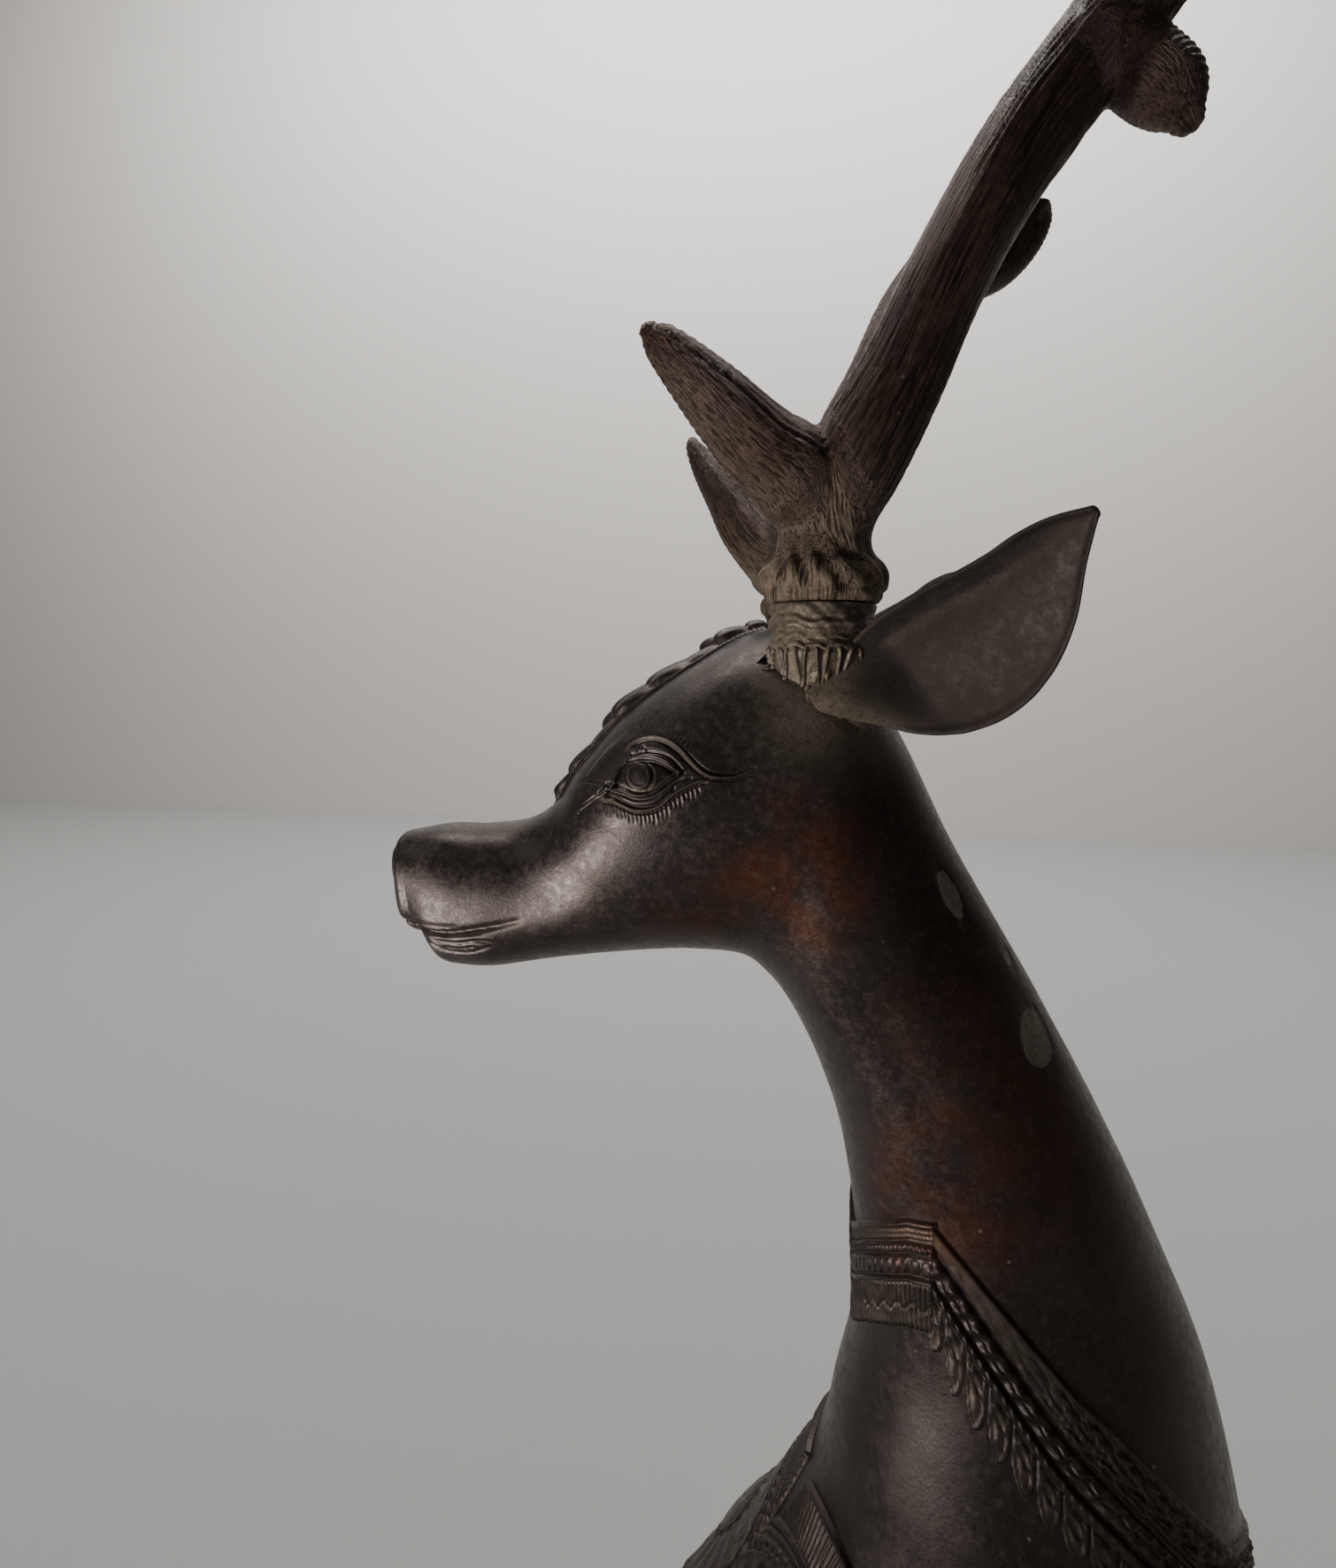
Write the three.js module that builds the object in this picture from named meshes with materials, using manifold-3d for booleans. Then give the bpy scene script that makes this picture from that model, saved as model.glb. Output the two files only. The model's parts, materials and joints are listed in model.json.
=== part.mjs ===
// A bronze deer's head, neck and chest with two antlers, cut flat below.
// Millimetres, +Z up. The deer faces -X and its left side is towards -Y.
// X is measured from a plumb line near the eye, Z from the flat underside,
// and the finished group is moved so that its origin is at the middle of its footprint.
import * as THREE from 'three';
import { mergeVertices } from 'three/addons/utils/BufferGeometryUtils.js';
import Module from 'manifold-3d';

const wasm = await Module();
wasm.setup();

// Driving dimensions of the head, neck and chest.
const RING_POINTS = 26;
const RINGS_PER_STATION = 2;
const MUZZLE_FACE_X = -136.5;
const MUZZLE_FACE_Z = 380;
const MUZZLE_FACE_LEAN = 0.12;
// Rings that close the muzzle: share of the first ring's size, and how far back towards it.
const MUZZLE_FACE_RINGS = [
  [0.35, 0],
  [0.75, 0.04],
  [0.93, 0.3],
];

// Each station of the head and neck: the point on the lower or front line (x, z),
// the point on the upper or back line (x, z), the half width, where the widest place is
// (0 at the front line, 1 at the back line), and how square the section is (2 is an ellipse).
const STATIONS = [
  { front: [-122, 353], back: [-134, 404], half: 21, widest: 0.5, square: 2.7 },
  { front: [-110, 339], back: [-114, 408], half: 27, widest: 0.48, square: 2.6 },
  { front: [-86, 339], back: [-92, 409], half: 31, widest: 0.45, square: 2.4 },
  { front: [-59, 344], back: [-70, 413], half: 34, widest: 0.45, square: 2.3 },
  { front: [-34, 348], back: [-53, 425], half: 40, widest: 0.5, square: 2.2 },
  { front: [-10, 351], back: [-40, 446], half: 47, widest: 0.55, square: 2.1 },
  { front: [12, 353], back: [-17, 473], half: 53, widest: 0.58, square: 2.1 },
  { front: [30, 353], back: [15, 496], half: 56, widest: 0.6, square: 2.1 },
  { front: [42, 351], back: [50, 511], half: 57, widest: 0.6, square: 2.1 },
  { front: [51, 344], back: [88, 500], half: 56, widest: 0.55, square: 2 },
  { front: [60, 334], back: [114, 460], half: 54, widest: 0.5, square: 2 },
  { front: [69, 319], back: [137, 413], half: 51, widest: 0.5, square: 2 },
  { front: [78, 300], back: [160, 373], half: 50, widest: 0.5, square: 2 },
  { front: [87, 275], back: [184, 331], half: 52, widest: 0.52, square: 2 },
  { front: [93, 247], back: [208, 285], half: 56, widest: 0.54, square: 2 },
  { front: [96.5, 217], back: [230, 238], half: 61, widest: 0.55, square: 2 },
  { front: [96.5, 180], back: [251, 185], half: 69, widest: 0.55, square: 2 },
  { front: [88, 141], back: [264, 125], half: 79, widest: 0.54, square: 2 },
  { front: [78, 102], back: [271, 79], half: 86, widest: 0.54, square: 2 },
  { front: [46, 52], back: [277, 38], half: 93, widest: 0.54, square: 2 },
  { front: [2, 0], back: [281, 0], half: 98, widest: 0.54, square: 2 },
];

// Forelock: overlapping locks up the middle of the forehead.
const LOCK_COUNT = 7;
const LOCK_LENGTH = 26;
const LOCK_HALF_WIDTH = 8;
const LOCK_RISE = 4.5;
const LOCK_FIRST_STATION = 4.8;
const LOCK_LAST_STATION = 7.1;
const LOCK_SIDE = 9;
const LOCK_LEAN = 6;
const LOCK_ROOT = 0.35;
const LOCK_SINK = 1.5;
const LOCK_FALL = 90;
const LOCK_RINGS = 4;
const LOCK_SIDES = 6;

// Antler seats on the crown.
const SEAT_X = 74;
const SEAT_HALF_GAP = 38;
const SEAT_TOP_Z = 520;
const SEAT_RADIUS = 23.5;
const SEAT_SIDES = 16;
// Distance below the seam, share of the radius and shift towards the middle,
// from the foot inside the crown up to the seam.
const SEAT_PROFILE = [
  [66, 0.8, 10],
  [50, 0.95, 7],
  [36, 1.02, 4],
  [22, 1.06, 0],
  [14, 0.96, 0],
  [9, 1.02, 0],
  [5, 0.96, 0],
  [0, 0.98, 0],
];
const SEAM_GAP = 0.3;
const FAR_SEAT_DROP = 7;

// Antlers. Each row is a place (x, distance out from the middle, rise above the seam) and a radius.
const BURR_SIDES = 20;
const BURR_HEIGHT = 21;
const BURR_LUMP = 0.035;
const BURR_LUMPS = 8;
const BURR_PROFILE = [
  [0, 23.5],
  [4, 25.5],
  [9, 27],
  [15, 26.5],
  [21, 22],
];
const BEAM = [
  [SEAT_X, 38, 8, 22],
  [75, 42, 36, 20],
  [86, 47, 62, 21.5],
  [104, 53, 96, 19],
  [124, 60, 140, 17.5],
  [148, 66, 182, 17.5],
  [175, 70, 218, 18],
  [201, 73, 252, 16.5],
  [222, 76, 288, 12.5],
  [233, 78, 324, 8],
  [237, 79, 346, 3.5],
];
const BROW_TINE = [
  [80, 40, 32, 20],
  [63, 47, 54, 22],
  [46.5, 56, 65.5, 18.5],
  [35, 62, 75.5, 16],
  [24.5, 67, 85.5, 14],
  [9.6, 73, 99.5, 10],
  [2.5, 76, 106, 7.2],
  [-0.5, 77, 108.6, 4.5],
];
const REAR_TINE = [
  [178, 70, 220, 17],
  [190, 71, 208, 15.5],
  [199, 72, 198, 14.5],
  [204, 73, 190, 11],
  [207, 73, 185, 6.5],
];
// The right antler isn't quite the left one's twin: how far forward of it each row of its beam is.
const FAR_BEAM_FORWARD = [0, 0, 8, 16, 16, 21, 22, 20, 10, 7, 6];
const FAR_BROW_TINE = [
  [80, 40, 20, 18],
  [66, 46, 27, 20],
  [56, 52, 37, 19],
  [38, 60, 57, 16],
  [25, 66, 78, 12.5],
  [13, 72, 95, 9],
  [5, 76, 108, 5.5],
  [3, 78, 113, 3.5],
];
const FAR_REAR_TINE = [
  [150, 68, 200, 15],
  [170, 70, 206, 14],
  [185, 71, 218, 12],
  [196, 72, 231, 8],
  [200, 73, 241, 4],
];
const BEAM_STEPS = 20;
const BEAM_SIDES = 12;
const TINE_SIDES = 10;
const BROW_STEPS = 10;
const REAR_STEPS = 5;

// Ears: an open leaf, cupped outwards.
const EAR_ROOT = [72, 47, 480];
const EAR_TIP = [167, 96, 550];
const EAR_ACROSS = 8;
const EAR_THICKNESS = 5;
const EAR_CUP = 15;
// How far the leaf reaches above and below its middle line, from the stem to the point.
const EAR_UPPER = [8, 8, 11, 13, 13, 11.5, 9, 6.5, 4, 2.5, 2];
const EAR_LOWER = [12, 23, 36, 44, 48, 48.5, 45.5, 39, 29, 16, 2.5];
const EAR_STEM_HALF_THICKNESS = 9;
const EAR_RIM = 1.6;
const EAR_LEAST_WALL = 1.4;

// Harness: a tiered collar piece over the throat and a band from each side of it to the withers.
const COLLAR_TOP_Z = 231;
const COLLAR_SIDE_LIFT = 20;
// Distance below the collar's top edge, and rise: textured tier, beaded tier, pleated fringe.
const COLLAR_PROFILE = [
  [0, 2.4],
  [14, 2.4],
  [15, 3.8],
  [24, 3.8],
  [25, 3],
  [48, 3],
];
const COLLAR_REACH = 0.22;
const COLLAR_STEPS = 12;
const BAND_APEX = [124, 254];
const BAND_END = [267, 113];
const NECK_FIRST_STATION = 12;
// Distance below the band's upper edge, and rise: rim, plain strip, rope.
const BAND_PROFILE = [
  [0, 4],
  [3, 4],
  [4, 2.2],
  [9, 2.2],
  [10, 4],
  [20, 4],
  [21, 2.6],
];
const FRINGE_TEETH = 10;
const FRINGE_SHORTEST = 28;
const FRINGE_LONGEST = 37;
const FRINGE_RISE = 2.4;

// Chest roundels: a pair of ringed bosses either side of the point of the chest.
const ROUNDEL_Z = 44;
const ROUNDEL_OUT = 32;
const ROUNDEL_SIDES = 18;
// Radius and rise from the rim to the middle boss.
const ROUNDEL_PROFILE = [
  [54, 1.6],
  [42, 1.6],
  [40, 3.2],
  [36, 3.2],
  [34, 2],
  [24, 2],
  [21, 3.6],
  [10, 4.5],
];

const RELIEF_ROOT = 5;

const bronze = new THREE.MeshStandardMaterial({ color: 0x2a1a12, roughness: 0.36, metalness: 0.9 });
const antlerBronze = new THREE.MeshStandardMaterial({
  color: 0x3a261b,
  roughness: 0.5,
  metalness: 0.85,
});

function v3(p) {
  return new THREE.Vector3(p[0], p[1], p[2]);
}

function smooth(a, b, x) {
  const t = Math.min(1, Math.max(0, (x - a) / (b - a)));
  return t * t * (3 - 2 * t);
}

// Value at a fractional index of a list of numbers, on a smooth curve through them.
function along(values, index) {
  const last = values.length - 1;
  const i = Math.min(last - 1, Math.max(0, Math.floor(index)));
  const f = Math.min(1, Math.max(0, index - i));
  const p0 = i > 0 ? values[i - 1] : 2 * values[0] - values[1];
  const p3 = i < last - 1 ? values[i + 2] : 2 * values[last] - values[last - 1];
  const p1 = values[i];
  const p2 = values[i + 1];
  const cubic = 3 * p1 - p0 - 3 * p2 + p3;
  const square = 2 * p0 - 5 * p1 + 4 * p2 - p3;
  return p1 + 0.5 * f * (p2 - p0 + f * (square + f * cubic));
}

// Closed solid from a list of rings of points, each end closed onto its middle.
function solidFromRings(rings) {
  const n = rings[0].length;
  const points = [];
  const faces = [];
  for (const ring of rings) {
    for (const p of ring) {
      points.push(p.x, p.y, p.z);
    }
  }
  for (let r = 0; r + 1 < rings.length; r += 1) {
    for (let k = 0; k < n; k += 1) {
      const a = r * n + k;
      const b = r * n + ((k + 1) % n);
      const c = a + n;
      const d = b + n;
      faces.push(a, b, d, a, d, c);
    }
  }
  const ends = [
    { ring: rings[0], start: 0, forward: false },
    { ring: rings[rings.length - 1], start: (rings.length - 1) * n, forward: true },
  ];
  for (const end of ends) {
    const middle = new THREE.Vector3();
    for (const p of end.ring) {
      middle.add(p);
    }
    middle.divideScalar(n);
    const m = points.length / 3;
    points.push(middle.x, middle.y, middle.z);
    for (let k = 0; k < n; k += 1) {
      const a = end.start + k;
      const b = end.start + ((k + 1) % n);
      if (end.forward) {
        faces.push(a, b, m);
      } else {
        faces.push(b, a, m);
      }
    }
  }
  return toSolid(points, faces);
}

function toSolid(points, faces) {
  const geometry = new THREE.BufferGeometry();
  geometry.setAttribute('position', new THREE.Float32BufferAttribute(points, 3));
  geometry.setIndex(faces);
  const merged = mergeVertices(geometry, 1e-3);
  const positions = merged.getAttribute('position').array;
  const triangles = Array.from(merged.getIndex().array);
  let volume = 0;
  for (let i = 0; i < triangles.length; i += 3) {
    const corner = (k) => v3(positions.slice(3 * triangles[i + k], 3 * triangles[i + k] + 3));
    volume += corner(0).dot(corner(1).cross(corner(2)));
  }
  if (volume < 0) {
    for (let i = 0; i < triangles.length; i += 3) {
      [triangles[i + 1], triangles[i + 2]] = [triangles[i + 2], triangles[i + 1]];
    }
  }
  const mesh = new wasm.Mesh({
    numProp: 3,
    vertProperties: new Float32Array(positions),
    triVerts: new Uint32Array(triangles),
  });
  return new wasm.Manifold(mesh);
}

function union(solids) {
  return solids.reduce((sum, solid) => sum.add(solid));
}

// The faces of the largest joined shell, without any small pocket shut in between joined solids.
function outerShell(triangles, pointCount) {
  const parent = Array.from({ length: pointCount }, (_, i) => i);
  const rootOf = (i) => {
    let r = i;
    while (parent[r] !== r) {
      parent[r] = parent[parent[r]];
      r = parent[r];
    }
    return r;
  };
  for (let i = 0; i < triangles.length; i += 3) {
    parent[rootOf(triangles[i + 1])] = rootOf(triangles[i]);
    parent[rootOf(triangles[i + 2])] = rootOf(triangles[i]);
  }
  const sizes = new Map();
  for (const t of triangles) {
    sizes.set(rootOf(t), (sizes.get(rootOf(t)) || 0) + 1);
  }
  const [largest] = [...sizes.entries()].reduce((a, b) => (b[1] > a[1] ? b : a));
  return triangles.filter((_, i) => rootOf(triangles[i - (i % 3)]) === largest);
}

function toMesh(solid, name, material) {
  const result = solid.getMesh();
  const geometry = new THREE.BufferGeometry();
  const faces = outerShell(result.triVerts, result.vertProperties.length / 3);
  geometry.setAttribute('position', new THREE.BufferAttribute(result.vertProperties, 3));
  geometry.setIndex(new THREE.BufferAttribute(faces, 1));
  geometry.computeVertexNormals();
  const mesh = new THREE.Mesh(geometry, material);
  mesh.name = name;
  return mesh;
}

// The head, neck and chest as a surface: a station index and a share of the way
// from the front line (0) to the back line (1) give a point on the deer's left or right.
function stationAt(index) {
  const pick = (get) => along(STATIONS.map(get), index);
  return {
    front: [pick((s) => s.front[0]), pick((s) => s.front[1])],
    back: [pick((s) => s.back[0]), pick((s) => s.back[1])],
    half: pick((s) => s.half),
    widest: pick((s) => s.widest),
    square: pick((s) => s.square),
  };
}

function halfWidthAt(station, share) {
  const s = Math.min(1, Math.max(0, share));
  const span = s < station.widest ? station.widest : 1 - station.widest;
  const reach = Math.min(1, Math.abs(s - station.widest) / span);
  return station.half * (1 - reach ** station.square) ** (1 / station.square);
}

function ringPoint(station, angle) {
  const rise = Math.cos(angle);
  const share = rise < 0 ? station.widest * (1 + rise) : station.widest + (1 - station.widest) * rise;
  const e = 2 / station.square;
  const bulge = Math.sign(rise) * Math.abs(rise) ** e;
  const shaped = bulge < 0 ? station.widest * (1 + bulge) : station.widest + (1 - station.widest) * bulge;
  const s = station.square > 2 ? shaped : share;
  const side = Math.sign(Math.sin(angle)) * halfWidthAt(station, s);
  const x = station.front[0] + (station.back[0] - station.front[0]) * s;
  const z = station.front[1] + (station.back[1] - station.front[1]) * s;
  return new THREE.Vector3(x, side, z);
}

function torso() {
  const rings = [];
  const first = stationAt(0);
  for (const [scale, shift] of MUZZLE_FACE_RINGS) {
    const ring = [];
    for (let k = 0; k < RING_POINTS; k += 1) {
      const p = ringPoint(first, (2 * Math.PI * k) / RING_POINTS);
      const middle = new THREE.Vector3(MUZZLE_FACE_X, 0, MUZZLE_FACE_Z);
      const q = middle.clone().lerp(p, scale);
      const lean = MUZZLE_FACE_LEAN * (MUZZLE_FACE_Z - q.z);
      const x = MUZZLE_FACE_X + (p.x - MUZZLE_FACE_X - lean) * shift + lean;
      ring.push(new THREE.Vector3(x, q.y, q.z));
    }
    rings.push(ring);
  }
  const count = (STATIONS.length - 1) * RINGS_PER_STATION;
  for (let r = 0; r <= count; r += 1) {
    const station = stationAt(r / RINGS_PER_STATION);
    const ring = [];
    for (let k = 0; k < RING_POINTS; k += 1) {
      ring.push(ringPoint(station, (2 * Math.PI * k) / RING_POINTS));
    }
    rings.push(ring);
  }
  return solidFromRings(rings);
}

// Point on the surface straight out sideways from a place (x, z) of the side view.
function surfaceAt(x, z, from) {
  const past = (index) => {
    const s = stationAt(index);
    const dx = s.back[0] - s.front[0];
    const dz = s.back[1] - s.front[1];
    return dx * (z - s.front[1]) - dz * (x - s.front[0]);
  };
  let low = from;
  let high = STATIONS.length - 1;
  const lowSign = Math.sign(past(low));
  for (let i = 0; i < 26; i += 1) {
    const middle = (low + high) / 2;
    if (Math.sign(past(middle)) === lowSign) {
      low = middle;
    } else {
      high = middle;
    }
  }
  const station = stationAt((low + high) / 2);
  const dx = station.back[0] - station.front[0];
  const dz = station.back[1] - station.front[1];
  const share = (dx * (x - station.front[0]) + dz * (z - station.front[1])) / (dx * dx + dz * dz);
  return { share, index: (low + high) / 2 };
}

// Point at a station index and share, on one side, with the way out from the surface there.
function skin(index, share, side) {
  const place = (i, s) => {
    const station = stationAt(i);
    const x = station.front[0] + (station.back[0] - station.front[0]) * s;
    const z = station.front[1] + (station.back[1] - station.front[1]) * s;
    return new THREE.Vector3(x, side * halfWidthAt(station, s), z);
  };
  const s = Math.min(0.985, Math.max(0.015, share));
  const point = place(index, share);
  const du = place(index + 0.05, s).sub(place(index - 0.05, s));
  const dv = place(index, s + 0.01).sub(place(index, s - 0.01));
  const normal = du.cross(dv).normalize();
  const station = stationAt(index);
  const core = new THREE.Vector3(
    (station.front[0] + station.back[0]) / 2,
    0,
    (station.front[1] + station.back[1]) / 2,
  );
  if (normal.dot(point.clone().sub(core)) < 0) {
    normal.negate();
  }
  return { point, normal };
}

// Raised work lying on the surface: at each step along it, points across it with their rise.
function raised(steps, across, placeAt, riseAt) {
  const rings = [];
  for (let c = 0; c <= steps; c += 1) {
    const ring = [];
    for (let r = 0; r < across; r += 1) {
      const { point, normal } = placeAt(c / steps, r);
      ring.push(point.addScaledVector(normal, riseAt(r)));
    }
    for (const r of [across - 1, 0]) {
      const { point, normal } = placeAt(c / steps, r);
      ring.push(point.addScaledVector(normal, -RELIEF_ROOT));
    }
    rings.push(ring);
  }
  return solidFromRings(rings);
}

// Station index whose front line is at a height on the neck.
function indexAtHeight(z) {
  let low = 10;
  let high = STATIONS.length - 1;
  for (let i = 0; i < 26; i += 1) {
    const middle = (low + high) / 2;
    if (stationAt(middle).front[1] > z) {
      low = middle;
    } else {
      high = middle;
    }
  }
  return (low + high) / 2;
}

function collar() {
  const placeAt = (u, r) => {
    const turn = 2 * u - 1;
    const share = COLLAR_REACH * turn * turn;
    const z = COLLAR_TOP_Z + COLLAR_SIDE_LIFT * turn * turn - COLLAR_PROFILE[r][0];
    const at = skin(indexAtHeight(z), share, Math.sign(turn) || 1);
    if (Math.abs(turn) < 1e-6) {
      at.normal = new THREE.Vector3(-1, 0, 0);
    }
    return at;
  };
  return raised(COLLAR_STEPS, COLLAR_PROFILE.length, placeAt, (r) => COLLAR_PROFILE[r][1]);
}

// Place on the band: share of its length, and distance below its upper rim.
function bandPlace(u, below, side) {
  const dx = BAND_END[0] - BAND_APEX[0];
  const dz = BAND_END[1] - BAND_APEX[1];
  const length = Math.hypot(dx, dz);
  const across = [dz / length, -dx / length];
  const x = BAND_APEX[0] + dx * u + across[0] * below;
  const z = BAND_APEX[1] + dz * u + across[1] * below;
  const at = surfaceAt(x, z, NECK_FIRST_STATION);
  return skin(at.index, at.share, side);
}

// One harness band with its hanging fringe of pointed leaves.
function band(side) {
  const rows = BAND_PROFILE.length;
  const placeAt = (u, r) => {
    if (r < rows) {
      return bandPlace(u, BAND_PROFILE[r][0], side);
    }
    const tooth = 1 - Math.abs(2 * ((FRINGE_TEETH * u) % 1) - 1);
    return bandPlace(u, FRINGE_SHORTEST + (FRINGE_LONGEST - FRINGE_SHORTEST) * tooth, side);
  };
  const riseAt = (r) => (r < rows ? BAND_PROFILE[r][1] : FRINGE_RISE);
  return raised(FRINGE_TEETH * 2, rows + 1, placeAt, riseAt);
}

function roundel(side) {
  const heart = surfacePoint(ROUNDEL_Z);
  const ring = (size, lift) => {
    const points = [];
    for (let k = 0; k < ROUNDEL_SIDES; k += 1) {
      const angle = (2 * Math.PI * k) / ROUNDEL_SIDES;
      const z = Math.max(1, ROUNDEL_Z + size * heart.slope[1] * Math.cos(angle));
      const y = side * (ROUNDEL_OUT + size * Math.sin(angle));
      const point = chestPoint(y, z).addScaledVector(heart.normal, lift);
      point.z = Math.max(1, point.z);
      points.push(point);
    }
    return points;
  };
  const rings = ROUNDEL_PROFILE.map(([radius, rise]) => ring(radius, rise));
  return solidFromRings([ring(ROUNDEL_PROFILE[0][0], -2 * RELIEF_ROOT), ...rings]);
}

// Middle of the chest's front line at a height, with its slope and the way out.
function surfacePoint(z) {
  const index = indexAtHeight(z);
  const a = stationAt(index - 0.1).front;
  const b = stationAt(index + 0.1).front;
  const length = Math.hypot(b[0] - a[0], b[1] - a[1]);
  const slope = [(a[0] - b[0]) / length, (a[1] - b[1]) / length];
  return { z, slope, normal: new THREE.Vector3(-slope[1], 0, slope[0]) };
}

// Point of the chest's front at a height and a distance out from the middle.
function chestPoint(y, z) {
  const station = stationAt(indexAtHeight(z));
  let low = 0;
  let high = station.widest;
  for (let i = 0; i < 20; i += 1) {
    const middle = (low + high) / 2;
    if (halfWidthAt(station, middle) < Math.abs(y)) {
      low = middle;
    } else {
      high = middle;
    }
  }
  const share = (low + high) / 2;
  const x = station.front[0] + (station.back[0] - station.front[0]) * share;
  return new THREE.Vector3(x, y, station.front[1] + (station.back[1] - station.front[1]) * share);
}

// One lock: a leaf lying along the forehead, its root covered by the next one up.
function lock(index, side) {
  const base = stationAt(index).back;
  const ahead = stationAt(index - 0.4).back;
  const down = new THREE.Vector3(ahead[0] - base[0], 0, ahead[1] - base[1]).normalize();
  const out = new THREE.Vector3(down.z, 0, -down.x);
  const outward = out.z > 0 ? out : out.negate();
  const across = new THREE.Vector3(0, 1, 0);
  const rings = [];
  for (let i = 1; i <= LOCK_RINGS; i += 1) {
    const t = i / (LOCK_RINGS + 1);
    const half = LOCK_HALF_WIDTH * Math.sin(Math.PI * t) ** 0.7;
    const thick = LOCK_RISE * (0.5 + 0.5 * Math.sin(Math.PI * t));
    const ring = [];
    for (let k = 0; k < LOCK_SIDES; k += 1) {
      const angle = (2 * Math.PI * k) / LOCK_SIDES;
      const centre = new THREE.Vector3(base[0], 0, base[1])
        .addScaledVector(down, LOCK_LENGTH * (t - LOCK_ROOT))
        .addScaledVector(across, side * (LOCK_SIDE + LOCK_LEAN * t) + half * Math.cos(angle));
      const fall = (centre.y * centre.y) / LOCK_FALL;
      centre.addScaledVector(outward, thick * Math.sin(angle) - fall + LOCK_SINK);
      ring.push(centre);
    }
    rings.push(ring);
  }
  return solidFromRings(rings);
}

function forelock() {
  const solids = [];
  for (let i = 0; i < LOCK_COUNT; i += 1) {
    const index = LOCK_FIRST_STATION + ((LOCK_LAST_STATION - LOCK_FIRST_STATION) * i) / (LOCK_COUNT - 1);
    solids.push(lock(index, -1));
    solids.push(lock(index, 1));
  }
  return solids;
}

// The seat that carries one antler, from inside the crown to the seam.
function seat(side) {
  const top = SEAT_TOP_Z - (side > 0 ? FAR_SEAT_DROP : 0);
  const rings = [];
  for (const [below, scale, inward] of SEAT_PROFILE) {
    const ring = [];
    for (let k = 0; k < SEAT_SIDES; k += 1) {
      const angle = (2 * Math.PI * k) / SEAT_SIDES;
      const x = SEAT_X + SEAT_RADIUS * scale * Math.cos(angle);
      const y = side * (SEAT_HALF_GAP - inward) + SEAT_RADIUS * scale * Math.sin(angle);
      ring.push(new THREE.Vector3(x, y, top - below));
    }
    rings.push(ring);
  }
  return solidFromRings(rings);
}

// One ear: sections across the leaf, from its stem in the head to its point.
function ear(side) {
  const root = v3([EAR_ROOT[0], side * EAR_ROOT[1], EAR_ROOT[2]]);
  const tip = v3([EAR_TIP[0], side * EAR_TIP[1], EAR_TIP[2]]);
  const length = tip.clone().sub(root);
  const lengthway = length.clone().normalize();
  const outward = new THREE.Vector3(0, side, 0);
  outward.addScaledVector(lengthway, -outward.dot(lengthway)).normalize();
  const upward = new THREE.Vector3().crossVectors(outward, lengthway);
  if (upward.z < 0) {
    upward.negate();
  }
  const rings = [];
  for (let i = 0; i < EAR_UPPER.length; i += 1) {
    const t = i / (EAR_UPPER.length - 1);
    const middle = root.clone().addScaledVector(length, t);
    const width = EAR_UPPER[i] + EAR_LOWER[i];
    const cup = (EAR_CUP * width) / 60;
    const open = smooth(0.04, 0.3, t);
    const outer = [];
    const inner = [];
    for (let k = 0; k <= EAR_ACROSS; k += 1) {
      const u = k / EAR_ACROSS;
      const bow = Math.sin(Math.PI * u);
      const at = EAR_UPPER[i] - width * u;
      const edge = middle.clone().addScaledVector(upward, at);
      const wall = Math.max(EAR_LEAST_WALL, EAR_THICKNESS * (0.35 + 0.65 * bow) * (1 - 0.55 * t));
      const rim = u < 0.2 ? EAR_RIM * open : 0;
      const stem = (1 - open) * EAR_STEM_HALF_THICKNESS * bow;
      const back = stem + cup * bow * open;
      outer.push(edge.clone().addScaledVector(outward, -back - wall / 2));
      const front = stem - cup * bow * open;
      inner.push(edge.clone().addScaledVector(outward, front + wall / 2 + rim));
    }
    rings.push([...outer, ...inner.reverse()]);
  }
  return solidFromRings(rings);
}

// A tapering round limb through points, each with its radius.
function limb(stops, steps, sides) {
  const curve = (axis) => stops.map((s) => s.at[axis]);
  const radii = stops.map((s) => s.radius);
  const rings = [];
  const span = stops.length - 1;
  const place = (i) => new THREE.Vector3(along(curve(0), i), along(curve(1), i), along(curve(2), i));
  let across = new THREE.Vector3(0, 1, 0);
  for (let r = 0; r <= steps; r += 1) {
    const i = (span * r) / steps;
    const tangent = place(Math.min(span, i + 0.05)).sub(place(Math.max(0, i - 0.05))).normalize();
    across = across.clone().addScaledVector(tangent, -across.dot(tangent)).normalize();
    const other = new THREE.Vector3().crossVectors(tangent, across);
    const radius = along(radii, i);
    const ring = [];
    for (let k = 0; k < sides; k += 1) {
      const angle = (2 * Math.PI * k) / sides;
      ring.push(
        place(i)
          .addScaledVector(across, radius * Math.cos(angle))
          .addScaledVector(other, radius * Math.sin(angle)),
      );
    }
    rings.push(ring);
  }
  return solidFromRings(rings);
}

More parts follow.
